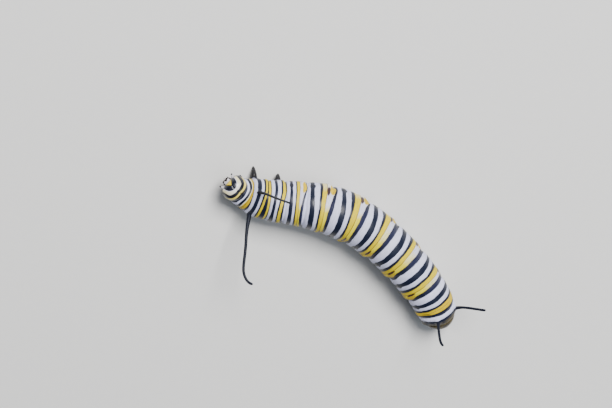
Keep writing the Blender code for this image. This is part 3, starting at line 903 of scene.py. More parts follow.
@dataclass(frozen=True)
class CapsuleFinish:
    """The glossy head: a yellow triangle inside a cream and a yellow horseshoe, on black."""

    black: Colour = (0.007, 0.009, 0.02)
    cream: Colour = (0.9, 0.82, 0.5)
    lilac: Colour = (0.78, 0.78, 0.96)
    yellow: Colour = (0.9, 0.66, 0.0)
    straw: Colour = (0.92, 0.75, 0.14)
    reach: float = 2.5
    ends: Stripes = (0.785, 0.84, 1.075, 1.36, 1.52, 2.5)
    edge: float = 0.008
    crown: Span = (0.79, 1.07)
    crown_down: Span = (-0.25, 0.35)
    crown_share: float = 0.85
    mouth: Span = (0.72, 0.8)
    wander_size: float = 0.45
    grain_size: float = 0.07
    pit_size: float = 0.16
    bump_depth: float = 0.009
    bump_strength: float = 0.45

    def build(self) -> Material:
        """Make the material; the mesh carries hoop, frons and down.

        Returns:
            The material.
        """
        recipe = Recipe("head_capsule")
        spot = recipe.place()
        wander = recipe.noise(spot, 1 / (self.wander_size * MM), 3.0, 0.6) - 0.5
        hoop, down = recipe.read("hoop") + wander * 0.05, recipe.read("down")
        hues = (self.black, self.lilac, self.cream, self.black, self.straw, self.black)
        bands = [(end / self.reach, hue) for end, hue in zip(self.ends, hues)]
        colour = recipe.ramp(hoop / self.reach, striped(bands, self.edge))
        crown = hoop.within(self.crown, 0.01).both(down.below(*self.crown_down))
        colour = recipe.blend(crown * self.crown_share, colour, self.lilac)
        colour = recipe.blend((down + wander * 0.1).rise(*self.mouth), colour, self.black)
        triangle = (recipe.read("frons") + wander * 0.03).rise(0.0, 0.03)
        colour = recipe.blend(triangle, colour, self.yellow)
        grain = recipe.noise(spot, 1 / (self.grain_size * MM), 2.0, 0.6)
        colour = recipe.shade(colour, 0.84 + 0.28 * grain)
        pits = recipe.node("ShaderNodeTexVoronoi", {"Vector": spot, "Scale": 1 / (self.pit_size * MM)},
                           "Distance")
        recipe.bump(pits.rise(0.0, 0.45) * 0.7 + grain * 0.3, self.bump_depth, self.bump_strength)
        return recipe.finish(Base_Color=colour, Roughness=0.2 + 0.16 * grain, Specular_IOR_Level=0.5,
                             Coat_Weight=0.15)


@dataclass(frozen=True)
class HornFinish:
    """A plain horny or fleshy finish with a fine grain."""

    name: str
    colour: Colour
    second: Colour
    grain: float
    roughness: float
    depth: float = 0.012
    coat: float = 0.0
    gloss: float = 0.5

    def build(self) -> Material:
        """Make the material, mottled between its two colours.

        Returns:
            The material.
        """
        recipe = Recipe(self.name)
        spot = recipe.place()
        mottle = recipe.noise(spot, 1 / (self.grain * MM), 3.0, 0.6)
        fine = recipe.noise(spot, 4 / (self.grain * MM), 2.0, 0.5)
        colour = recipe.blend(mottle.rise(0.35, 0.68), self.colour, self.second)
        recipe.bump(mottle * 0.5 + fine * 0.5, self.depth, 0.6)
        rough = self.roughness + 0.14 * (fine - 0.5)
        return recipe.finish(Base_Color=colour, Roughness=rough, Coat_Weight=self.coat,
                             Specular_IOR_Level=self.gloss)


class Coat(Enum):
    """The plain finishes, by what they are on."""

    HORN = HornFinish("black_horn", (0.006, 0.007, 0.011), (0.016, 0.015, 0.018), 0.35, 0.36, gloss=0.35)
    FEELER = HornFinish("feeler_skin", (0.004, 0.006, 0.014), (0.01, 0.013, 0.026), 0.22, 0.44, 0.014,
                        gloss=0.16)
    JAW = HornFinish("dark_jaw", (0.008, 0.006, 0.006), (0.035, 0.014, 0.008), 0.2, 0.24, 0.006, 0.2)
    LIP = HornFinish("pale_lip", (0.62, 0.6, 0.66), (0.46, 0.44, 0.46), 0.12, 0.34, gloss=0.35)
    JOINT = HornFinish("joint_skin", (0.024, 0.02, 0.02), (0.012, 0.011, 0.012), 0.15, 0.5, gloss=0.2)
    EYE = HornFinish("eye_lens", (0.004, 0.004, 0.006), (0.012, 0.01, 0.012), 0.08, 0.06, 0.001, 1.0)
    HAIR = HornFinish("hair", (0.045, 0.038, 0.034), (0.1, 0.09, 0.08), 0.3, 0.4)
    HOOK = HornFinish("proleg_hook", (0.12, 0.055, 0.018), (0.05, 0.022, 0.01), 0.08, 0.25)

    def material(self) -> Material:
        """Return this finish's material, made when it is first used."""
        return bpy.data.materials.get(self.value.name) or self.value.build()


@dataclass(frozen=True)
class FloorFinish:
    """A plain pale floor with a faint tooth."""

    colour: Colour = (0.84, 0.84, 0.835)

    def build(self) -> Material:
        """Make the material.

        Returns:
            The material.
        """
        recipe = Recipe("pale_floor")
        tooth = recipe.noise(recipe.place(), 900.0, 3.0, 0.5)
        colour = recipe.blend(tooth, self.colour, tuple(part * 0.97 for part in self.colour))
        return recipe.finish(Base_Color=colour, Roughness=0.78)


@dataclass
class Planting:
    """Sets one small shape on many places with Geometry Nodes, and returns a plain mesh."""

    name: str
    shape: Piece
    coat: Coat
    uneven: float = 0.2
    seed: int = 5
    patch: float = 0.003
    patch_columns: int = 5

    def tree(self) -> bpy.types.NodeTree:
        """Build the tree: points, one shape on each, turned, scaled, realized and finished.

        Returns:
            The tree, with its unevenness and seed as inputs.
        """
        tree = bpy.data.node_groups.new(self.name + "_planting", "GeometryNodeTree")
        for name, way, kind in (("Geometry", "INPUT", "Geometry"), ("Unevenness", "INPUT", "Float"),
                                ("Seed", "INPUT", "Int"), ("Geometry", "OUTPUT", "Geometry")):
            tree.interface.new_socket(name, in_out=way, socket_type="NodeSocket" + kind)
        add = partial(add_node, tree)
        read = {name: add("GeometryNodeInputNamedAttribute", {"data_type": kind}, {"Name": name}).outputs[0]
                for name, kind in (("way", "FLOAT_VECTOR"), ("side", "FLOAT_VECTOR"), ("size", "FLOAT"))}
        start = add("NodeGroupInput")
        stand = add("FunctionNodeAlignRotationToVector", {"axis": "Z"}, {"Vector": read["way"]})
        turn = add("FunctionNodeAlignRotationToVector", {"axis": "X", "pivot_axis": "Z"},
                   {"Rotation": stand.outputs[0], "Vector": read["side"]})
        vary = add("FunctionNodeRandomValue", {"data_type": "FLOAT"}, {"Seed": start.outputs["Seed"]})
        lean = add("ShaderNodeMath", {"operation": "MULTIPLY_ADD"},
                   {0: vary.outputs[1], 1: start.outputs["Unevenness"], 2: 1.0 - self.uneven / 2})
        size = add("ShaderNodeMath", {"operation": "MULTIPLY"}, {0: lean.outputs[0], 1: read["size"]})
        shape = add("GeometryNodeObjectInfo", {}, {"Object": self.shape})
        points = add("GeometryNodeMeshToPoints", {}, {"Mesh": start.outputs["Geometry"]})
        plant = add("GeometryNodeInstanceOnPoints", {}, {
            "Points": points.outputs[0], "Instance": shape.outputs["Geometry"],
            "Rotation": turn.outputs[0], "Scale": size.outputs[0]})
        real = add("GeometryNodeRealizeInstances", {}, {"Geometry": plant.outputs[0]})
        dress = add("GeometryNodeSetMaterial", {}, {"Geometry": real.outputs[0],
                                                    "Material": self.coat.material()})
        add("NodeGroupOutput", {}, {"Geometry": dress.outputs[0]})
        return tree

    def lay_out(self, item: Piece, roots: Array) -> None:
        """Give each planted shape a small patch of its own on the skin's unwrap.

        Args:
            item: The planted mesh, one shape after another.
            roots: Where each is rooted on the unwrap, from 0 to 1.
        """
        corners = np.empty(len(item.data.loops), np.int32)
        item.data.loops.foreach_get("vertex_index", corners)
        root, corner = np.divmod(corners, len(item.data.vertices) // len(roots))
        row, column = np.divmod(corner, self.patch_columns)
        local = np.stack([column / self.patch_columns, row / (row.max() + 1)], axis=1) - 0.5
        layer = item.data.uv_layers.new(name="OFBake")
        layer.data.foreach_set("uv", (roots[root] + local * self.patch).astype(np.float32).ravel())

    def plant(self, places: Array, ways: Array, sides: Array, sizes: Array,
              roots: Union[Array, None] = None) -> Piece:
        """Plant the shape on places.

        Args:
            places: Points in millimetres.
            ways: Where each shape's Z axis points.
            sides: Where its X axis turns.
            sizes: Scale of each.
            roots: Each root's place on the skin's unwrap, for hairs.

        Returns:
            One plain mesh object.
        """
        base = make_mesh(self.name + "_places", places, [])
        add_way(base, "way", ways)
        add_way(base, "side", sides)
        add_value(base, "size", sizes)
        tree = self.tree()
        modifier = base.modifiers.new("planting", "NODES")
        modifier.node_group = tree
        sockets = {item.name: item.identifier for item in tree.interface.items_tree
                   if item.in_out == "INPUT"}
        modifier[sockets["Unevenness"]] = self.uneven
        modifier[sockets["Seed"]] = self.seed
        mesh = bpy.data.meshes.new_from_object(base.evaluated_get(bpy.context.evaluated_depsgraph_get()))
        mesh.name = self.name
        mesh.shade_smooth()
        item = put_in(self.name, mesh)
        for spare in (base, self.shape):
            bpy.data.objects.remove(spare, do_unlink=True)
        bpy.data.node_groups.remove(tree)
        if roots is not None:
            self.lay_out(item, roots)
        return item


def settle(item: Piece, slot: str, *nodes: str) -> None:
    """Let a finished piece ride on the body, hide the CAD nodes that it stands for, and report it.

    Args:
        item: The piece.
        slot: Not used.
        nodes: The CAD nodes for which it stands.
    """
    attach(item, BODY)
    if nodes:
        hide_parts(*nodes)
    LOG.info("%s: %d faces", item.name, len(item.data.polygons))


@dataclass
class Root:
    """A place on the skin where a leg or feeler grows."""

    s: float
    angle: float
    radius: float


@dataclass
class Proleg:
    """A place on the skin where a proleg grows, its scale, how far out its sole is and how far back."""

    s: float
    angle: float
    scale: float
    splay: float
    back: float


@dataclass
class Skin:
    """The one flesh piece: a grid of rings round the spine, with folds, lobes and prolegs."""

    spine: Spine
    feelers: list[Root]
    legs: list[Root]
    sides: int = 168
    ring_step: float = 0.125
    joint_crowd: Span = (0.8, 0.22)
    proleg_crowd: Span = (1.3, 0.9)
    tail_crowd: Span = (3.0, 0.5)
    turn_crowd: Span = (1.3, 20.0)
    joint_depth: float = 0.062
    joint_sharpness: float = 5.0
    belly_flat: float = 0.085
    groove_depth: float = 0.075
    groove_width: float = 0.1
    creases: tuple[Span, ...] = ((0.2, 0.035), (0.35, 0.04), (0.5, 0.035), (0.71, 0.055), (0.86, 0.035))
    crease_width: float = 0.016
    crease_ripple: float = 0.25
    ripple: float = 0.006
    ripples: tuple[Span, ...] = ((3.0, 1.7), (7.0, -2.3))
    flank: float = 45.0
    farthest: float = 1.2
    thinnest: float = 0.004
    neck_band: float = -0.03
    neck_rings: tuple[Span, ...] = ((-0.1, 0.6), (0.05, 0.74), (0.16, 0.84), (0.19, 0.91), (0.15, 0.965),
                                    (0.07, 0.992))
    blob_angle: float = 75.0
    bow: float = 0.08
    bow_width: float = 17.0
    bow_rings: tuple[int, int] = (3, 8)
    bow_shares: tuple[float, ...] = (0.0, 0.0, 0.0, 0.0, 0.0, 0.0, 1.0, 0.6)
    lobe_height: float = 0.16
    lobe_at: float = 0.8
    lobe_length: float = 0.13
    lobe_angle: float = 93.0
    lobe_width: float = 17.0
    fold_height: float = 0.08
    tail_power: float = 2.6
    feeler_collar: float = 0.2
    leg_collar: float = 0.26
    collar_spread: float = 1.7
    proleg_along: float = 0.5
    proleg_angle: float = 37.0
    proleg_follows_roll: float = 0.4
    proleg_patch: Span = (0.896, 16.8)
    proleg_sole: Span = (0.74, 0.58)
    proleg_splay: float = 1.12
    hidden_splay: float = 0.9
    shoulder: float = 0.16
    drop_power: float = 1.15
    pinch: float = 0.13
    proleg_rings: tuple[Triple, ...] = ((0.05, 0.8, 0.12), (-0.035, 0.36, 0.05), (-0.03, 0.62, 0.05))
    sole_share: float = 0.45
    sole_hollow: float = 0.03
    fillet_reach: float = 1.5
    no_foot: float = 2.0
    clasper_along: float = 0.52
    clasper_angle: float = 34.0
    clasper_back: float = 0.25
    clasper_scale: float = 0.72

    def body_angle(self, s: Array, angle: Array) -> Array:
        """Return the angle from the dorsal line, from -180 to 180."""
        return wrapped(angle + self.spine.roll(s))

    def reach(self, s: Array, angle: Array) -> Array:
        """Return the skin's distance from the centre line, without collars and prolegs.

        Args:
            s: Distances.
            angle: Angles.

        Returns:
            The distances.
        """
        s, angle = np.asarray(s, float), np.asarray(angle, float)
        index, along = self.spine.segment_at(s)
        along = np.clip(along, 0.0, 1.0)
        tail = index == LAST
        edge = np.where(tail, np.maximum(0.0, 1 - 2 * along), np.abs(2 * along - 1)) ** self.joint_sharpness
        radius = self.spine.radius(s) * (1 - self.joint_depth * edge)
        radius = radius * np.where(tail, (1 - along ** self.tail_power) ** (1 / self.tail_power), 1.0)
        under = np.maximum(0.0, -np.cos(np.radians(angle)))
        radius = radius * (1 - self.belly_flat * under ** 2)
        lobe = bell((np.abs(self.body_angle(s, angle)) - self.lobe_angle) / self.lobe_width)
        swell = self.lobe_height * bell((along - self.lobe_at) / self.lobe_length)
        ringed = (index > 0) & ~tail
        radius = radius + ringed * lobe * (swell + self.fold_height * (1 - edge))
        return radius - self.folds(s, angle, index, tail)

    def folds(self, s: Array, angle: Array, index: Array, tail: Array) -> Array:
        """Return how deep the joints' grooves and the finer creases cut into the skin.

        Args:
            s: Distances.
            angle: Angles.
            index: The segment of each place.
            tail: Whether that is the tail.

        Returns:
            The depths.
        """
        nearest = np.min(np.abs(s[..., None] - self.spine.joints[1:-1]), axis=-1)
        cut = self.groove_depth * bell(nearest / self.groove_width)
        turn = np.radians(angle)
        ripple = sum(np.sin(turn * across + s * along) for across, along in self.ripples)
        level = self.band_value(s, angle) % 1.0
        for crease, depth in self.creases:
            near = bell((level - crease) / self.crease_width) * (1 + self.crease_ripple * ripple)
            cut = cut + np.where(index > 0, depth, 0.5 * depth) * near
        return np.where(tail, cut * 0.5, cut) + self.ripple * ripple

    def surface(self, s: Array, angle: Array, lift: Union[float, Array] = 0.0) -> Array:
        """Return points of the skin before the prolegs are drawn out.

        Args:
            s: Distances.
            angle: Angles.
            lift: Height over the skin.

        Returns:
            Points in millimetres, with three columns.
        """
        s, angle = np.broadcast_arrays(np.asarray(s, float), np.asarray(angle, float))
        centre, _, left, up = self.spine.frame(s)
        rise, aside = around(angle)
        out = self.reach(s, angle) + self.collars(s, angle) + lift
        return centre + (up * rise + left * aside) * out[..., None]

    def collars(self, s: Array, angle: Array) -> Array:
        """Return the low mounds from which the feelers and legs grow.

        Args:
            s: Distances.
            angle: Angles.

        Returns:
            The mounds' height at each place.
        """
        height = np.zeros_like(s)
        for roots, rise in ((self.feelers, self.feeler_collar), (self.legs, self.leg_collar)):
            for root in roots:
                across = np.radians(wrapped(angle - root.angle)) * self.spine.radius(root.s)
                away = np.hypot(s - root.s, across) / (root.radius * self.collar_spread)
                height = height + rise * np.exp(-away ** 3)
        return height

    def outward(self, s: float, angle: float) -> Array:
        """Return the direction from the centre line through a place on the skin."""
        _, _, left, up = self.spine.frame(s)
        return up * math.cos(math.radians(angle)) + left * math.sin(math.radians(angle))

    def grown_from(self, root: Root, lift: float) -> Array:
        """Return the point at a height over a root."""
        out = self.outward(root.s, root.angle) * (float(self.reach(root.s, root.angle)) + lift)
        return self.spine.frame(root.s)[0] + out

    def normal(self, s: float, angle: float) -> Array:
        """Find the direction square to the skin.

        Args:
            s: Distance along the spine.
            angle: Angle from straight up.

        Returns:
            The outward direction.
        """
        points = self.surface(s + np.array([0.1, -0.1, 0.0, 0.0]), angle + np.array([0.0, 0.0, 2.0, -2.0]))
        across = unit(np.cross(points[0] - points[1], points[2] - points[3]))
        return across * np.sign(across.dot(self.outward(s, angle)))

    def rings(self) -> Array:
        """Space the rings, closer at joints, prolegs and the tail's end.

        Returns:
            Their distances along the spine.
        """
        fine = np.linspace(0.0, float(self.spine.joints[-1]), 8000)
        crowds = [(joint, *self.joint_crowd) for joint in self.spine.joints[1:-1]]
        crowds += [(proleg.s, *self.proleg_crowd) for proleg in self.prolegs()]
        crowds += [(fine[-1], *self.tail_crowd)]
        weight = 1.0 + sum(more * bell((fine - place) / width) for place, more, width in crowds)
        total = gathered(fine, weight)
        return np.interp(np.linspace(0.0, total[-1], int(total[-1] / self.ring_step)), total, fine)

    def angles(self) -> Array:
        """Space a ring's points, closer where the prolegs grow.

        Returns:
            Their angles.
        """
        fine = np.linspace(0.0, 360.0, 3601)
        more, width = self.turn_crowd
        middles = (180.0 - self.proleg_angle, 180.0 + self.proleg_angle)
        total = gathered(fine, 1.0 + more * sum(bell((fine - middle) / width) for middle in middles))
        return np.interp(np.linspace(0.0, total[-1], self.sides, endpoint=False), total, fine)

    def prolegs(self) -> list[Proleg]:
        """List the prolegs and claspers.

        Returns:
            Those of the left, then those of the right.
        """
        made = []
        for side, _ in SIDES:
            for number in PROLEG_SEGMENTS:
                s = self.spine.place(f"abdomen_{number}", self.proleg_along)
                angle = side * (180.0 - self.proleg_angle) - self.proleg_follows_roll * self.spine.roll(s)
                splay = self.hidden_splay if (number, side) == (3, -1) else self.proleg_splay
                made.append(Proleg(s, angle, 1.0, splay, 0.0))
            s = self.spine.place("tail", self.clasper_along)
            angle = side * (180.0 - self.clasper_angle) - self.proleg_follows_roll * self.spine.roll(s)
            made.append(Proleg(s, angle, self.clasper_scale, 1.0, self.clasper_back))
        return made

    def sole(self, proleg: Proleg) -> tuple[Array, Array, Array]:
        """Place a proleg's sole on the floor.

        Args:
            proleg: The proleg.

        Returns:
            Its middle, and its half length and half width as vectors.
        """
        centre, forward, left, _ = self.spine.frame(proleg.s)
        ahead = unit(forward * PLAN)
        base = self.surface(proleg.s, proleg.angle, ROOT_LIFT)
        middle = (centre + (base - centre) * proleg.splay - ahead * proleg.back) * PLAN
        long, wide = self.proleg_sole
        return middle, -ahead * long * proleg.scale, left * wide * proleg.scale

    def draw_prolegs(self, s: Array, angle: Array, points: Array) -> tuple[Array, Array]:
        """Pull a patch of skin down to a sole on the floor for each proleg.

        Args:
            s: Distance of each point.
            angle: Angle of each point.
            points: The points before the prolegs.

        Returns:
            The points with prolegs, and each point's share of the way out of its proleg.
        """
        points, foot = points.copy(), np.full(s.shape, self.no_foot)
        for proleg in self.prolegs():
            half = self.proleg_patch[0] * proleg.scale ** 2
            along, across = (s - proleg.s) / half, wrapped(angle - proleg.angle) / self.proleg_patch[1]
            rho, tau = np.hypot(along, across), np.arctan2(across, along)
            near = rho < self.fillet_reach
            foot[near] = np.minimum(foot[near], rho[near])
            flare = np.clip((self.fillet_reach - rho) / (self.fillet_reach - 1), 0.0, 1.0) ** 2
            lift = self.shoulder * proleg.scale
            skirt = near & (rho >= 1.0)
            points[skirt] = self.surface(s[skirt], angle[skirt], lift * flare[skirt])
            inside = rho < 1.0
            points[inside] = self.proleg(proleg, half, lift, rho[inside], tau[inside])
        points[..., 2] = np.maximum(points[..., 2], 0.0)
        return points, foot

    def proleg(self, proleg: Proleg, half: float, lift: float, rho: Array, tau: Array) -> Array:
        """Return the points of one proleg's wall and sole.

        Args:
            proleg: The proleg.
            half: Half length of its patch of skin.
            lift: Height of its shoulder over the skin.
            rho: Each point's share of the way to the patch's rim.
            tau: Each point's turn round the middle.

        Returns:
            The points.
        """
        middle, long, wide = self.sole(proleg)
        rim = self.surface(proleg.s + half * np.cos(tau), proleg.angle + self.proleg_patch[1] * np.sin(tau),
                           lift)
        down = np.clip((1 - rho) / (1 - self.sole_share), 0.0, 1.0)[:, None]
        foot_rim = middle + np.cos(tau)[:, None] * long - np.sin(tau)[:, None] * wide
        wall = rim + (foot_rim - rim) * np.sin(down * math.pi / 2) ** self.drop_power
        waist = -self.pinch * np.sin(down * math.pi)
        for form in self.proleg_rings:
            waist = waist + ridge(form, down)
        wall = wall + unit(foot_rim - middle) * proleg.scale * waist
        pad = np.clip(rho / self.sole_share, 0.0, 1.0)[:, None]
        flat = middle + (foot_rim - middle) * pad
        flat[:, 2] = self.sole_hollow * (1 - pad[:, 0] ** 2)
        return np.where(down >= 1.0, flat, wall)

    def band_value(self, s: Array, angle: Array) -> Array:
        """Return the segment's number plus the level among its stripes, for the finish and the creases.

        Args:
            s: Distances.
            angle: Angles.

        Returns:
            Values that rise from the neck to the tail's end.
        """
        side = self.body_angle(s, angle)
        odd = np.sin(np.radians(side)) / math.sin(math.radians(self.flank))
        odd = np.clip(odd, -self.farthest, self.farthest)
        bow = self.bow * bell((np.abs(side) - self.blob_angle) / self.bow_width)
        value = np.zeros_like(s)
        before, low = np.full_like(s, -0.1), 0.0
        for number, row in enumerate(SEGMENTS):
            levels = {0: COLLAR_LEVELS, 1: SPOT_LEVELS}.get(number, LEVELS)
            bowed = self.bow_rings[0] <= number <= self.bow_rings[1]
            for right, top, left, level, share in zip(row.right, row.top, row.left, levels, self.bow_shares):
                end = top + odd * (left - right) / 2 + odd ** 2 * ((left + right) / 2 - top)
                end = end + bow * (bowed * share)
                place = np.maximum(self.spine.joints[number] + end * row.length, before + self.thinnest)
                high = number + level
                value = value + np.clip((s - before) / (place - before), 0.0, 1.0) * (high - low)
                before, low = place, high
        for place, high in zip(self.spine.joints[-2:], (LAST, LAST + 1)):
            value = value + np.clip((s - before) / (place - before), 0.0, 1.0) * (high - low)
            before, low = np.full_like(s, place), high
        return value

    def neck(self, angles: Array) -> Array:
        """Turn the front edge inwards round the head.

        Args:
            angles: Angles of a ring's points.

        Returns:
            The rings of the edge.
        """
        zero = np.zeros_like(angles)
        centre, forward, left, up = self.spine.frame(zero)
        rise, aside = around(angles)
        out = (up * rise + left * aside) * self.reach(zero, angles)[:, None]
        return np.array([centre + forward * ahead + out * share for ahead, share in self.neck_rings])

    def build(self) -> None:
        """Make the whole skin as one closed mesh with its pattern values."""
        s, angle = np.meshgrid(self.rings()[:-1], self.angles(), indexing="ij")
        points, foot = self.draw_prolegs(s, angle, self.surface(s, angle))
        lip = self.neck(angle[0])
        solid, faces = tube(np.concatenate([lip, points]))
        item = make_mesh("larva_skin", solid, faces, [SkinFinish().build()])
        side = self.body_angle(s, angle)
        turn, left = np.abs(side) / 180.0, np.sin(np.radians(side))
        edge = np.zeros(lip.shape[:2])
        for name, front, values, ends in (
                ("band", edge + self.neck_band, self.band_value(s, angle), (self.neck_band, len(SEGMENTS))),
                ("turn", edge + turn[0], turn, (0.0, turn[-1].mean())),
                ("left", edge + left[0], left, (0.0, 0.0)),
                ("foot", edge + self.no_foot, foot, (self.no_foot, self.no_foot))):
            add_value(item, name, np.concatenate([front.ravel(), values.ravel(), ends]))
        prolegs = [f"proleg_{number}_{word}" for number in PROLEG_SEGMENTS for _, word in SIDES]
        settle(item, "skin", *NAMES, *prolegs, *(f"clasper_{word}" for _, word in SIDES))


@dataclass(frozen=True)
class FeelerPlan:
    """One tentacle: root, length, thickness and the ways in which it points on its course."""

    name: str
    segment: str
    angle: float
    length: float
    radius: float
    tip: float
    ways: tuple[Span, ...]
    sway: Triple = (0.0, 0.0, 0.0)


FEELERS = (
    FeelerPlan("front_tentacle_left", "thorax_2", 53.0, 9.6, 0.3, 0.18,
               ((112.0, 32.0), (119.0, 28.0), (118.0, 27.0), (158.0, 26.0), (212.0, 20.0))),
    FeelerPlan("front_tentacle_right", "thorax_2", -45.0, 9.2, 0.23, 0.13,
               ((-100.0, 60.0), (-121.0, 66.0), (-123.0, 68.5), (-126.0, 67.5), (-133.0, 65.5)),
               (-0.17, 0.26, 0.13)),
    FeelerPlan("rear_tentacle_left", "abdomen_8", 39.5, 4.0, 0.25, 0.18,
               ((100.0, 74.0), (118.0, 66.0), (128.0, 62.0), (158.0, 56.0), (196.0, 48.0))),
    FeelerPlan("rear_tentacle_right", "abdomen_8", -39.5, 4.1, 0.25, 0.18,
               ((-124.0, 35.0), (-138.0, 31.0), (-142.0, 29.0), (-143.0, 27.0), (-140.0, 20.0))),
)


@dataclass
class Feelers:
    """The two long front tentacles and the two short rear ones."""

    spine: Spine
    bends: tuple[float, ...] = (0.0, 0.1, 0.3, 0.68, 0.88, 1.0)
    rings: int = 150
    sunk_rings: int = 12
    sides: int = 22
    sunk: float = 0.75
    waist: float = 0.76
    waist_end: float = 0.3
    taper: float = 1.4
    sway_power: float = 0.6
    flare: float = 0.06
    flare_end: float = 0.035
    wrinkle: float = 0.032
    wrinkle_step: float = 0.16
    fine_wrinkles: float = 23.0
    blunt: float = 0.3

    def root(self, plan: FeelerPlan) -> Root:
        """Return where a feeler leaves the skin."""
        s = float(self.spine.bands[NAMES.index(plan.segment)])
        return Root(s, plan.angle - float(self.spine.roll(s)), plan.radius)

    def path(self, skin: Skin, plan: FeelerPlan) -> Array:
        """Find a feeler's middle line.

        Args:
            skin: The skin.
            plan: The feeler.

        Returns:
            Points from inside the body to the tip.
        """
        root = self.root(plan)
        out, start = skin.outward(root.s, root.angle), skin.grown_from(root, ROOT_LIFT)
        turns, lifts = np.radians(np.array(plan.ways)).T
        level = np.cos(lifts)
        ways = np.stack([np.cos(turns) * level, np.sin(turns) * level, np.sin(lifts)], axis=1)
        ways = np.vstack([out, ways])
        middle = (np.arange(self.rings) + 0.5) / self.rings
        course = unit(np.stack([smooth_run(self.bends, ways[:, k], middle) for k in range(3)], axis=1))
        line = start + np.cumsum(course * (plan.length / self.rings), axis=0)
        line = line + np.outer(np.sin(math.pi * middle ** self.sway_power), plan.sway)
        sunk = start - np.outer(np.linspace(self.sunk + ROOT_LIFT, 0.0, self.sunk_rings), out)
        return np.vstack([sunk, line])

    def radii(self, plan: FeelerPlan, walked: Array) -> Array:
        """Find a feeler's thickness, wrinkled at the root and blunt at the tip.

        Args:
            plan: The feeler.
            walked: Distances along its middle line.

        Returns:
            Its radius at each.
        """
        end = walked[-1]
        share = np.clip((walked - self.sunk) / (end - self.sunk), 0.0, 1.0)
        slim = plan.radius * (1 + (self.waist - 1) * soft_step(0.0, self.waist_end, share))
        radii = slim + (plan.tip - slim) * share ** self.taper + self.flare * bell(share / self.flare_end)
        wave = np.sin(walked * math.tau / self.wrinkle_step) + 0.5 * np.sin(walked * self.fine_wrinkles)
        radii = radii * (1 + self.wrinkle * wave * (1 - share) * (share > 0))
        left_over = (end + plan.tip * self.blunt - walked) / (plan.tip * (1 + self.blunt))
        return radii * np.sqrt(np.clip(left_over, 0.0, 1.0))

    def build(self, skin: Skin) -> None:
        """Make the four feelers, each sunk in its collar.

        Args:
            skin: The skin.
        """
        for plan in FEELERS:
            path = self.path(skin, plan)
            walked = running(np.linalg.norm(np.diff(path, axis=0), axis=1))
            rings = sweep(path, self.radii(plan, walked), self.sides, (0.3, -0.2, 0.9))
            name = plan.name.replace("tentacle", "feeler")
            settle(make_mesh(name, *tube(rings), [Coat.FEELER.material()]), "horn", plan.name)


@dataclass(frozen=True)
class LegPlan:
    """One pair of thoracic legs, with the course that the CAD gives them."""

    segment: str
    along: float
    angle: float
    knee_out: float
    foot_out: float
    foot_ahead: float
    scale: float = 1.0


LEGS = (
    LegPlan("thorax_1", 0.6, 22.0, 1.0, 1.1, 0.1, 0.86),
    LegPlan("thorax_2", 0.22, 50.0, 2.75, 3.1, 0.34),
    LegPlan("thorax_3", 0.64, 46.0, 2.6, 2.7, -0.08),
)


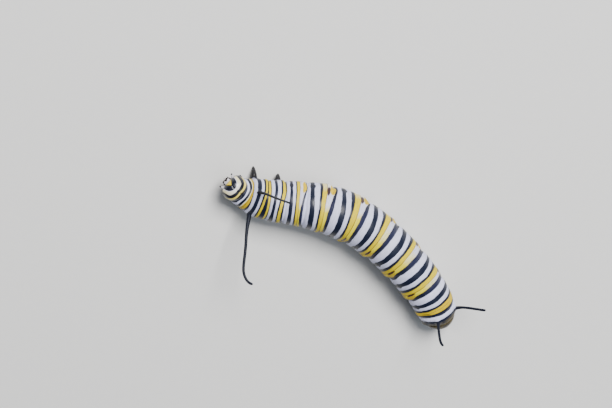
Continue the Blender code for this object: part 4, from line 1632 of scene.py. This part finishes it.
@dataclass
class WalkingLegs:
    """Three pairs of black jointed legs with a curved claw."""

    spine: Spine
    root_radius: float = 0.44
    sides: int = 26
    stations: int = 110
    kept: int = 106
    smoothing: int = 5
    sharp: float = 0.55
    sunk: float = 0.55
    sunk_share: float = 0.2
    knee_height: float = 0.8
    foot_height: float = 0.02
    least_height: float = 0.01
    claw_length: float = 0.3
    claw_radius: float = 0.075
    claw_tip: float = 0.006
    claw_rings: int = 14
    claw_sides: int = 10
    claw_height: float = 0.015
    claw_sunk: float = 0.9
    claw_arch: Span = (0.1, 0.12)
    profile: tuple[tuple[float, float, bool], ...] = (
        (0.0, 0.5, False), (0.1, 0.52, False), (0.2, 0.48, False), (0.25, 0.41, True),
        (0.265, 0.4, True), (0.285, 0.42, False), (0.38, 0.4, False), (0.48, 0.36, False),
        (0.51, 0.31, True), (0.525, 0.3, True), (0.545, 0.325, False), (0.64, 0.3, False),
        (0.72, 0.26, False), (0.745, 0.215, True), (0.76, 0.21, True), (0.78, 0.225, False),
        (0.86, 0.19, False), (0.93, 0.14, False), (0.98, 0.09, False))

    def root(self, plan: LegPlan, side: int) -> Root:
        """Return where a leg leaves the skin."""
        s = self.spine.place(plan.segment, plan.along)
        return Root(s, side * (180.0 - plan.angle), self.root_radius)

    def path(self, skin: Skin, plan: LegPlan, side: int, share: Array) -> Array:
        """Find a leg's middle line.

        Args:
            skin: The skin.
            plan: The leg's plan.
            side: 1 for the left leg, -1 for the right one.
            share: Shares of the way to the foot.

        Returns:
            The point at each share.
        """
        root = self.root(plan, side)
        centre, forward, left, _ = self.spine.frame(root.s)
        start, inner = skin.grown_from(root, ROOT_LIFT), skin.grown_from(root, -self.sunk)
        ahead = unit(forward * PLAN)
        ground = centre * PLAN + ahead * ahead.dot(start - centre)
        knee = ground + left * (side * plan.knee_out) + ahead * (0.5 * plan.foot_ahead)
        knee[2] = start[2] * self.knee_height
        foot = ground + left * (side * plan.foot_out) + ahead * plan.foot_ahead
        foot[2] = self.foot_height
        t = np.clip((share - self.sunk_share) / (1 - self.sunk_share), 0.0, 1.0)[:, None]
        arch = start * (1 - t) ** 2 + knee * (2 * t * (1 - t)) + foot * t * t
        sink = np.clip(share / self.sunk_share, 0.0, 1.0)[:, None]
        return np.where(share[:, None] < self.sunk_share, inner + (start - inner) * sink, arch)

    def claw(self, line: Array, scale: float) -> Array:
        """Shape the claw at a leg's end, curved under the foot.

        Args:
            line: The leg's middle line.
            scale: The leg's scale.

        Returns:
            The claw's rings.
        """
        way = unit(line[-1] - line[-8])
        inner = unit(-TOP + way * way[2])
        t = np.linspace(0.0, 1.0, self.claw_rings)[:, None]
        reach = self.claw_length * scale
        back = way * reach * self.claw_sunk
        bulge, hook = self.claw_arch
        path = line[-1] - back + back * t + inner * reach * (bulge * np.sin(t * math.pi) - hook * t)
        path[:, 2] = np.maximum(path[:, 2], self.claw_height)
        radii = self.claw_radius * scale * (1 - t[:, 0] ** 1.6) + self.claw_tip
        return sweep(path, radii, self.claw_sides, (0.0, 0.2, 1.0))

    def build(self, skin: Skin) -> None:
        """Make the six legs with their joints and claws.

        Args:
            skin: The skin.
        """
        places, widths, soft = (np.array(column, float) for column in zip(*self.profile))
        share = np.linspace(0.0, 1.0, self.stations)
        radii = np.interp(share, places, widths)
        calm = smooth_run(share[::self.smoothing], radii[::self.smoothing], share)
        radii = (calm * (1 - self.sharp) + radii * self.sharp)[:self.kept]
        marks = np.repeat(np.interp(share[:self.kept - 1], places, soft) > 0.5, self.sides)
        for number, plan in enumerate(LEGS, start=1):
            for side, word in SIDES:
                line = self.path(skin, plan, side, share)
                rings = sweep(line[:self.kept], radii * plan.scale, self.sides, (1.0, 0.1, 0.2))
                rings[..., 2] = np.maximum(rings[..., 2], self.least_height)
                points, faces = tube(rings)
                hook, hook_faces = tube(self.claw(line, plan.scale), len(points))
                faces += hook_faces
                item = make_mesh(f"walking_leg_{number}_{word}", np.vstack([points, hook]), faces,
                                 [Coat.HORN.material(), Coat.JOINT.material()],
                                 np.concatenate([marks, np.zeros(len(faces) - len(marks))]).astype(np.int32))
                settle(item, "horn", f"leg_{number}_{word}")


@dataclass
class HeadShape:
    """The head capsule's own axes and form, as in the CAD, with sutures and lobes added."""

    spine: Spine
    from_neck: Triple = (0.55, -0.1, 0.36)
    turn: float = -5.0
    lean: float = 13.8
    face_lift: float = 71.0
    half_width: float = 1.75
    half_crown: float = 1.66
    half_mouth: float = 1.16
    half_depth: float = 1.5
    power: float = 2.25
    pattern_radius: float = 1.69
    wrap: float = 0.45
    hoop_down: float = 0.5
    hoop_half_height: float = 0.81
    hoop_half_width: float = 0.75
    squared: Span = (0.95, 1.25)
    frons_top: float = 0.24
    frons_base: float = 0.63
    frons_half: float = 0.33
    frons_slant: float = 0.76
    frons_aside: float = 0.02
    frons_back: float = 0.4
    front: Span = (-0.35, 0.1)
    suture: Triple = (-0.115, 0.0, 0.045)
    suture_end: Span = (0.22, -0.05)
    lobes: Triple = (0.03, 0.42, 0.3)
    lobes_end: Span = (0.55, -0.2)
    seam: Triple = (-0.06, -0.035, 0.022)
    seam_start: Span = (0.15, 0.24)
    plate: Span = (0.02, 0.08)
    lip: Triple = (-0.055, 0.7, 0.022)
    lip_half: float = 0.42
    centre: Array = field(init=False)
    axes: Array = field(init=False)

    def __post_init__(self) -> None:
        """Work out the middle and the axes across, towards the mouth and out of the face."""
        self.centre = self.spine.frame(0.0)[0] + np.array(self.from_neck)
        turn = Matrix.Rotation(math.radians(self.turn), 3, "Z")
        lift = math.radians(self.face_lift)
        mouth = turn @ Vector((math.sin(lift), 0.0, -math.cos(lift)))
        lean = Matrix.Rotation(math.radians(self.lean), 3, mouth)
        face = lean @ turn @ Vector((math.cos(lift), 0.0, math.sin(lift)))
        self.axes = np.array([face.cross(mouth), mouth, face])

    def reach(self, way: Array) -> Array:
        """Return the capsule's radius, as the CAD has it.

        Args:
            way: Unit directions.

        Returns:
            The radius along each.
        """
        share = 0.5 + 0.5 * way[..., 1]
        length = self.half_crown + (self.half_mouth - self.half_crown) * share
        halves = (self.half_width, length, self.half_depth)
        total = sum(np.abs(way[..., k] / half) ** self.power for k, half in enumerate(halves))
        return total ** (-1 / self.power)

    def marks(self, way: Array) -> tuple[Array, Array, Array]:
        """Work out the values of the head's pattern.

        Args:
            way: Unit directions.

        Returns:
            The horseshoes' level, the depth inside the triangle, and how far down each place is.
        """
        local = way * self.reach(way)[..., None] / self.pattern_radius
        behind = np.clip(-local[..., 2], 0.0, 1.0)
        across, down = local[..., 0] * (1 + self.wrap * behind), local[..., 1] * (1 + self.wrap * behind)
        above = np.minimum(down - self.hoop_down, 0.0) / self.hoop_half_height
        wide = np.abs(across) / self.hoop_half_width
        round_level = np.hypot(wide, above)
        square_level = (wide ** 3 + np.abs(above) ** 3) ** (1 / 3)
        hoop = round_level + (square_level - round_level) * soft_step(*self.squared, round_level)
        half = self.frons_half * (down - self.frons_top) / (self.frons_base - self.frons_top)
        slant = (half - np.abs(across + self.frons_aside)) * self.frons_slant
        frons = np.minimum(slant, self.frons_base - down) - self.frons_back * behind
        return hoop, frons, down

    def relief(self, way: Array) -> Array:
        """Return what the sutures, lobes and face plate add to the capsule's radius.

        Args:
            way: Unit directions.

        Returns:
            The height along each.
        """
        _, frons, down = self.marks(way)
        across = way[..., 0]
        front = soft_step(*self.front, way[..., 2])
        suture = ridge(self.suture, across) * soft_step(*self.suture_end, down) * front
        lobes = ridge(self.lobes, np.abs(across)) * soft_step(*self.lobes_end, down)
        seam = ridge(self.seam, frons) * front * soft_step(*self.seam_start, down)
        height, edge = self.plate
        plate = height * soft_step(0.0, edge, frons) * front
        lip = ridge(self.lip, down) * bell(across / self.lip_half) * front
        return suture + lobes + seam + plate + lip

    def place(self, local: Array) -> Array:
        """Return world points of local (across, mouth, face) ones."""
        return self.centre + local @ self.axes

    def skin(self, ways: Array, lift: float) -> Array:
        """Return world points at a height over the capsule's real surface."""
        return self.place(ways * (self.reach(ways) + self.relief(ways) + lift)[:, None])

    def root(self, across: float, out: float, lift: float) -> Array:
        """Return the point over the plain capsule where a ray with these slopes from the mouth leaves it."""
        way = unit(np.array([across, 1.0, out]))
        return self.place(way * (float(self.reach(way)) + lift))


@dataclass
class Plate:
    """A small bowed plate of the mouth, made from its outline."""

    name: str
    root: Array
    across: Array
    down: Array
    out: Array
    outline: Callable[[Array], tuple[Array, Array]]
    thick: float
    bulge: float
    corners: int = 64
    shells: tuple[Span, ...] = ((0.15, 1.0), (0.45, 0.95), (0.75, 0.75), (0.93, 0.42), (1.0, 0.0),
                                (0.93, -0.42), (0.75, -0.7), (0.45, -0.8), (0.15, -0.85))

    def build(self, coat: Coat, node: str) -> None:
        """Make the plate.

        Args:
            coat: Its finish.
            node: The CAD node that it replaces.
        """
        wide, long = self.outline(np.linspace(0.0, math.tau, self.corners, endpoint=False))
        rings = []
        for shrink, level in self.shells:
            w = wide.mean() + (wide - wide.mean()) * shrink
            h = long.mean() + (long - long.mean()) * shrink
            lift = self.thick * level + self.bulge * (1 - (np.abs(w) / np.abs(wide).max()) ** 2)
            rings.append(self.root + np.outer(w, self.across) + np.outer(h, self.down)
                         + np.outer(lift, self.out))
        settle(make_mesh(self.name, *tube(np.array(rings)), [coat.material()]), "mouthparts", node)


def lip_outline(turn: Array) -> tuple[Array, Array]:
    """Return a rounded bar with a notch in the middle of its free edge.

    Args:
        turn: Turns round it, in radians.

    Returns:
        Its half width and its length at each.
    """
    cosine, sine = np.cos(turn), np.sin(turn)
    wide = 0.47 * np.sign(cosine) * np.abs(cosine) ** 0.55
    long = 0.2 + 0.24 * np.sign(sine) * np.abs(sine) ** 0.65
    return wide, long - 0.17 * bell(wide / 0.14) * (sine > 0)


def jaw_outline(turn: Array) -> tuple[Array, Array]:
    """Return a wedge with teeth along its cutting edge."""
    wide, sine = 0.33 * np.cos(turn), np.sin(turn)
    return wide, 0.32 + 0.36 * sine + 0.055 * np.abs(np.sin(wide * 21.0)) * (sine > 0.35)


@dataclass
class LowerMouth:
    """The labium with its spinneret and palps, and a maxilla on each side, as one mesh."""

    shape: HeadShape
    sides: int = 20
    pale_rings: int = 3
    stub: tuple[Span, ...] = (
        (0.0, 1.0), (0.3, 1.02), (0.42, 0.92), (0.48, 0.76), (0.52, 0.84), (0.68, 0.8),
        (0.76, 0.62), (0.8, 0.5), (0.84, 0.54), (0.94, 0.44), (1.0, 0.2))
    spinneret: tuple[Span, ...] = ((0.0, 0.11), (0.12, 0.09), (0.22, 0.055), (0.32, 0.045), (0.38, 0.03))
    points: list[Array] = field(default_factory=list)
    faces: Faces = field(default_factory=list)
    marks: list[int] = field(default_factory=list)

    def add(self, start: Array, way: Array, stations: Sequence[Span], size: Span = (1.0, 1.0),
            flat: float = 1.0) -> None:
        """Add one jointed stub, pale at its root.

        Args:
            start: Its root.
            way: The unit direction in which it points.
            stations: Its radius at each distance.
            size: Scale of the distances and of the radii.
            flat: Its second half width as a share of the first.
        """
        places, radii = np.array(stations).T * np.array(size)[:, None]
        rings = sweep(start + np.outer(places, way), radii, self.sides, self.shape.axes[0], flat)
        points, faces = tube(rings, sum(len(part) for part in self.points))
        self.points.append(points)
        self.faces += faces
        self.marks += [int(k >= self.pale_rings * self.sides) for k in range(len(faces))]

    def build(self) -> None:
        """Make all its stubs."""
        across, mouth, face = self.shape.axes
        root = self.shape.root(0.0, -0.62, -0.3)
        way = unit(mouth - face * 0.1)
        self.add(root, way, self.stub, (0.8, 0.36), 0.7)
        self.add(root + way * 0.66, unit(way + face * 0.1), self.spinneret)
        for side, _ in SIDES:
            self.add(root + way * 0.52 + across * (0.2 * side), unit(way + across * (0.25 * side)),
                     self.stub, (0.26, 0.085))
            base = self.shape.root(side * 0.5, -0.42, -0.26)
            lean = unit(way - across * (0.12 * side) + face * 0.12)
            self.add(base, lean, self.stub, (0.78, 0.26), 0.85)
            self.add(base + lean * 0.62 + across * (0.07 * side), unit(lean + across * (0.2 * side)),
                     self.stub, (0.22, 0.075))
        item = make_mesh("lower_mouth", np.vstack(self.points), self.faces,
                         [Coat.LIP.material(), Coat.HORN.material()], self.marks)
        settle(item, "mouthparts", "labium")


@dataclass
class Head:
    """The head: capsule, eye beads, lips, toothed jaws, lower mouth and antennae."""

    shape: HeadShape
    grid: int = 76
    weld: float = 1e5
    stemmata: tuple[Triple, ...] = (
        (0.92, 0.3, 0.34), (0.95, 0.42, 0.23), (0.94, 0.53, 0.09),
        (0.88, 0.63, -0.05), (0.96, 0.38, -0.06), (0.8, 0.64, 0.22))
    stemma_sizes: tuple[float, ...] = (1.0, 1.05, 1.0, 0.95, 0.8, 0.85)
    stemma_radius: float = 0.1
    stemma_sunk: float = 0.35
    antenna: tuple[Span, ...] = (
        (-0.3, 0.25), (0.0, 0.25), (0.04, 0.235), (0.08, 0.19), (0.11, 0.17), (0.17, 0.175),
        (0.25, 0.165), (0.28, 0.125), (0.3, 0.115), (0.32, 0.13), (0.44, 0.12),
        (0.47, 0.085), (0.49, 0.06), (0.53, 0.055), (0.57, 0.022))
    antenna_sides: int = 24
    antenna_pale_rings: int = 9

    def cube_ways(self) -> tuple[Array, Faces]:
        """Lay a cube's six faces out over a sphere, welded along their edges.

        Returns:
            Unit directions, and their quads.
        """
        steps = np.tan(np.linspace(-1.0, 1.0, self.grid) * math.pi / 4)
        u, v = np.meshgrid(steps, steps, indexing="ij")
        one = np.ones_like(u)
        sheets = [(one, u, v), (-one, v, u), (v, one, u), (u, -one, v), (u, v, one), (v, u, -one)]
        ways = unit(np.stack(sheets).transpose(0, 2, 3, 1).reshape(-1, 3))
        keys = np.round(ways * self.weld).astype(np.int64)
        _, first, back = np.unique(keys, axis=0, return_index=True, return_inverse=True)
        numbers = back.reshape(len(sheets), self.grid, self.grid)
        low, high = numbers[:, :-1], numbers[:, 1:]
        quads = np.stack([low[..., :-1], high[..., :-1], high[..., 1:], low[..., 1:]], axis=-1)
        return ways[first], quads.reshape(-1, 4).tolist()

    def capsule(self) -> None:
        """Make the capsule with its sutures and pattern values."""
        ways, faces = self.cube_ways()
        item = make_mesh("head_shell", self.shape.skin(ways, 0.0), faces, [CapsuleFinish().build()])
        for name, values in zip(("hoop", "frons", "down"), self.shape.marks(ways)):
            add_value(item, name, values)
        settle(item, "capsule", "head")

    def eyes(self) -> None:
        """Set six glossy beads on each side of the head."""
        bead = bpy.data.meshes.new("bead")
        shape = bmesh.new()
        bmesh.ops.create_uvsphere(shape, u_segments=24, v_segments=14, radius=self.stemma_radius * MM)
        shape.to_mesh(bead)
        shape.free()
        ways = unit(np.array([(side * a, m, f) for side, _ in SIDES for a, m, f in self.stemmata]))
        places = self.shape.skin(ways, -self.stemma_sunk * self.stemma_radius)
        planting = Planting("eye_beads", put_in("bead", bead), Coat.EYE, 0.06)
        sizes = np.tile(self.stemma_sizes, 2)
        ways = unit(places - self.shape.centre)
        settle(planting.plant(places, ways, np.tile(TOP, (len(places), 1)), sizes), "capsule")

    def mouth(self) -> None:
        """Make the notched upper lip and the two jaws with their rounded teeth."""
        across, mouth, face = self.shape.axes
        Plate("upper_lip", self.shape.root(0.0, 0.56, -0.1), across, unit(mouth + face * 0.16),
              unit(face - mouth * 0.2), lip_outline, 0.06, 0.07).build(Coat.LIP, "labrum")
        for side, word in SIDES:
            down = unit(mouth - across * (0.3 * side) + face * 0.1)
            Plate(f"mandible_{word}", self.shape.root(side * 0.36, 0.1, -0.16), unit(-across * side), down,
                  unit(face + across * (0.5 * side)), jaw_outline, 0.13, 0.12).build(Coat.JAW, f"jaw_{word}")

    def antennae(self) -> None:
        """Make the two short antennae, three joints and a bristle on a pale socket."""
        across, mouth, face = self.shape.axes
        places, radii = np.array(self.antenna).T
        for side, word in SIDES:
            base = self.shape.root(side * 0.88, 0.22, 0.02)
            way = unit(mouth * 0.9 + across * (0.38 * side) + face * 0.02)
            points, faces = tube(sweep(base + np.outer(places, way), radii, self.antenna_sides, face))
            marks = (np.arange(len(faces)) >= self.antenna_pale_rings * self.antenna_sides).astype(np.int32)
            marks[-2 * self.antenna_sides:-self.antenna_sides] = 0
            item = make_mesh(f"feeler_horn_{word}", points, faces,
                             [Coat.LIP.material(), Coat.HORN.material()], marks)
            settle(item, "mouthparts", f"antenna_{word}")

    def build(self) -> None:
        """Make every piece of the head."""
        self.capsule()
        self.eyes()
        self.mouth()
        LowerMouth(self.shape).build()
        self.antennae()


@dataclass(frozen=True)
class Cone:
    """The template of a hair or hook that stands along Z and bends towards X."""

    height: float
    radius: float
    bend: float
    sides: int
    rings: int
    taper: float = 0.92

    def make(self, name: str) -> Piece:
        """Make the template.

        Args:
            name: Name of the template.

        Returns:
            The template object.
        """
        t = np.linspace(0.0, 1.0, self.rings)
        path = np.stack([self.bend * self.height * t ** 2, np.zeros(self.rings), self.height * t], axis=1)
        radii = self.radius * (1 - t * self.taper)
        return make_mesh(name, *tube(sweep(path, radii, self.sides, (1.0, 0.0, 0.0))))


@dataclass
class Trim:
    """The small things on the skin: hairs, breathing holes and the prolegs' hooks."""

    spine: Spine
    skin: Skin
    head: HeadShape
    body_count: int = 420
    head_count: int = 90
    seed: int = 11
    hair_from: float = 0.4
    hair_end: float = 0.5
    bare_foot: float = 1.3
    bare_height: float = 0.45
    hair_sunk: float = 0.02
    body_hair: Cone = Cone(0.21, 0.008, 0.25, 5, 6)
    body_lean: float = -0.35
    body_spread: float = 0.18
    body_sizes: Span = (0.6, 1.2)
    head_hair: Cone = Cone(0.24, 0.01, 0.3, 5, 7)
    head_front: float = -0.2
    head_bias: Triple = (0.0, 0.25, 0.35)
    head_lean: float = 0.5
    head_spread: float = 0.2
    head_sizes: Span = (0.5, 1.2)
    hook: Cone = Cone(0.13, 0.02, 0.85, 6, 8)
    hook_lean: float = 0.75
    hooks_on_each: int = 26
    hook_arc: float = 2.5
    hook_height: float = 0.17
    hook_reach: float = 0.9
    hook_sizes: Span = (0.62, 0.85)
    hole_segments: tuple[int, ...] = (0, 3, 4, 5, 6, 7, 8, 9, 10)
    hole_angle: float = 78.0
    hole_level: float = 0.275
    hole_length: float = 1.55
    hole_search: float = 0.9
    hole_rings: tuple[Span, ...] = ((0.015, -0.02), (0.045, -0.012), (0.06, 0.012), (0.08, 0.022),
                                    (0.1, 0.014), (0.12, -0.03))

    def body_hairs(self, draw: np.random.Generator) -> None:
        """Plant sparse fine hairs over the body, but not on the prolegs and the belly.

        Args:
            draw: The source of random numbers.
        """
        end = float(self.spine.joints[-1])
        s = draw.uniform(self.hair_from, end - self.hair_end, self.body_count)
        angle = draw.uniform(-180.0, 180.0, self.body_count)
        places, foot = self.skin.draw_prolegs(s, angle, self.skin.surface(s, angle, -self.hair_sunk))
        keep = (foot > self.bare_foot) & (places[:, 2] > self.bare_height)
        places = places[keep]
        centres, forward, _, _ = self.spine.frame(s[keep])
        spread = draw.normal(0.0, self.body_spread, places.shape)
        ways = unit(unit(places - centres) + forward * self.body_lean + spread)
        sizes = draw.uniform(*self.body_sizes, len(places))
        roots = np.stack([s[keep] / end, angle[keep] / 360.0 + 0.5], axis=1)
        planting = Planting("body_hairs", self.body_hair.make("body_hair"), Coat.HAIR, 0.5)
        item = planting.plant(places, ways, -forward, sizes, roots)
        settle(item, "skin")

    def head_hairs(self, draw: np.random.Generator) -> None:
        """Plant sparse fine hairs over the head.

        Args:
            draw: The source of random numbers.
        """
        ways = unit(draw.normal(0.0, 1.0, (self.head_count * 3, 3)) + np.array(self.head_bias))
        ways = ways[ways[:, 2] > self.head_front][:self.head_count]
        places, mouth = self.head.skin(ways, -self.hair_sunk), self.head.axes[1]
        spread = draw.normal(0.0, self.head_spread, places.shape)
        lean = unit(ways @ self.head.axes + mouth * self.head_lean + spread)
        turned = np.arctan2(ways[:, 0], ways[:, 2]) / math.tau + 0.5
        roots = np.stack([turned, np.arccos(ways[:, 1]) / math.pi], axis=1)
        sizes = draw.uniform(*self.head_sizes, len(places))
        planting = Planting("head_hairs", self.head_hair.make("head_hair"), Coat.HAIR, 0.7)
        item = planting.plant(places, lean, np.tile(mouth, (len(places), 1)), sizes, roots)
        settle(item, "capsule")

    def holes(self) -> None:
        """Set an oval breathing hole in the wide black band on each side."""
        turn = np.linspace(0.0, math.tau, 28, endpoint=False)
        rings = [np.stack([np.cos(turn) * reach * self.hole_length, np.sin(turn) * reach,
                           np.full_like(turn, lift)], axis=1) for reach, lift in self.hole_rings]
        template = make_mesh("hole", *tube(np.array(rings)))
        places, ways = [], []
        for number in self.hole_segments:
            s = float(self.spine.bands[number])
            for side, _ in SIDES:
                angle = side * self.hole_angle - float(self.spine.roll(s))
                course = s + np.linspace(-self.hole_search, self.hole_search, 60)
                levels = self.skin.band_value(course, np.full_like(course, angle))
                s = float(np.interp(number + self.hole_level, levels, course))
                places.append(self.skin.surface(s, angle))
                ways.append(self.skin.normal(s, angle))
        item = Planting("spiracles", template, Coat.HORN, 0.08).plant(
            np.array(places), np.array(ways), np.tile(TOP, (len(places), 1)), np.ones(len(places)))
        settle(item, "skin")

    def hooks(self) -> None:
        """Set an arc of small hooks along the inner edge of each proleg's sole."""
        places, ways, sides, sizes = [], [], [], []
        for proleg in self.skin.prolegs():
            middle, long, wide = self.skin.sole(proleg)
            side = math.copysign(1.0, proleg.angle)
            for k, t in enumerate(np.linspace(-0.5, 0.5, self.hooks_on_each) * self.hook_arc):
                inward = -wide * side * math.cos(t) + long * math.sin(t)
                places.append(middle + inward * self.hook_reach + TOP * self.hook_height)
                ways.append(unit(inward * self.hook_lean - TOP))
                sides.append(unit(inward))
                sizes.append(self.hook_sizes[k % 2] * proleg.scale)
        planting = Planting("proleg_hooks", self.hook.make("hook"), Coat.HOOK, 0.1)
        item = planting.plant(places, ways, sides, sizes)
        settle(item, "proleg")

    def build(self) -> None:
        """Make all the trim."""
        draw = np.random.default_rng(self.seed)
        self.body_hairs(draw)
        self.head_hairs(draw)
        self.holes()
        self.hooks()


@dataclass(frozen=True)
class Lamp:
    """One square soft lamp that looks at the larva; its place and size are in metres."""

    name: str
    place: Triple
    size: float
    power: float
    colour: Colour

    def build(self) -> None:
        """Hang the lamp."""
        data = bpy.data.lights.new(self.name, "AREA")
        data.size = self.size
        data.energy = self.power
        data.color = self.colour
        item = put_in(self.name, data)
        item.location = self.place
        item.rotation_euler = (-Vector(self.place)).to_track_quat("-Z", "Y").to_euler()


@dataclass
class Studio:
    """The pale floor, the soft lights and the camera at the photograph's viewing angle."""

    spine: Spine
    focal_pixels: float = 1777.8
    image_width: float = 612.0
    sensor: float = 36.0
    clip: Span = (0.01, 20.0)
    from_anchor: Triple = (73.13, -61.33, 224.58)
    right: Triple = (-0.81176, -0.577, 0.09003)
    up: Triple = (0.50811, -0.77384, -0.37815)
    back: Triple = (0.28786, -0.26122, 0.92136)
    floor_half: float = 3000.0
    floor_drop: float = 0.004
    lamps: tuple[Lamp, ...] = (
        Lamp("key", (0.1, -0.33, 0.43), 0.22, 5.6, (1.0, 0.985, 0.96)),
        Lamp("sky", (-0.22, -0.14, 0.58), 0.5, 1.0, (0.84, 0.91, 1.0)))
    world_colour: Colour = (0.86, 0.9, 1.0)
    world_strength: float = 0.08

    def camera(self) -> None:
        """Place the camera as the photograph's was."""
        lens = bpy.data.cameras.new("camera")
        lens.sensor_width = self.sensor
        lens.lens = self.focal_pixels * self.sensor / self.image_width
        lens.clip_start, lens.clip_end = self.clip
        pose = Matrix((self.right, self.up, self.back)).transposed().to_4x4()
        pose.translation = Vector((np.array(self.from_anchor) + np.array([*self.spine.anchor, 0.0])) * MM)
        item = put_in("camera", lens)
        item.matrix_world = pose
        bpy.context.scene.camera = item

    def floor(self) -> None:
        """Lay the floor just under the soles."""
        corners = np.array([(-1.0, -1.0, 0.0), (1.0, -1.0, 0.0), (1.0, 1.0, 0.0), (-1.0, 1.0, 0.0)])
        item = make_mesh("studio_floor", corners * self.floor_half - TOP * self.floor_drop, [(0, 1, 2, 3)],
                         [FloorFinish().build()])

    def build(self) -> None:
        """Set up the whole studio."""
        self.camera()
        self.floor()
        for lamp in self.lamps:
            lamp.build()
        world = bpy.data.worlds.new("studio")
        world.use_nodes = True
        light = world.node_tree.nodes["Background"]
        light.inputs["Color"].default_value = (*self.world_colour, 1.0)
        light.inputs["Strength"].default_value = self.world_strength
        bpy.context.scene.world = world


def main() -> None:
    """Build every piece in order."""
    logging.basicConfig(level=logging.INFO, format="%(message)s")
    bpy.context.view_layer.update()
    spine = Spine()
    Studio(spine).build()
    feelers, legs = Feelers(spine), WalkingLegs(spine)
    skin = Skin(spine, [feelers.root(plan) for plan in FEELERS],
                [legs.root(plan, side) for plan in LEGS for side, _ in SIDES])
    skin.build()
    feelers.build(skin)
    legs.build(skin)
    shape = HeadShape(spine)
    Head(shape).build()
    Trim(spine, skin, shape).build()


if __name__ == "__main__":
    main()
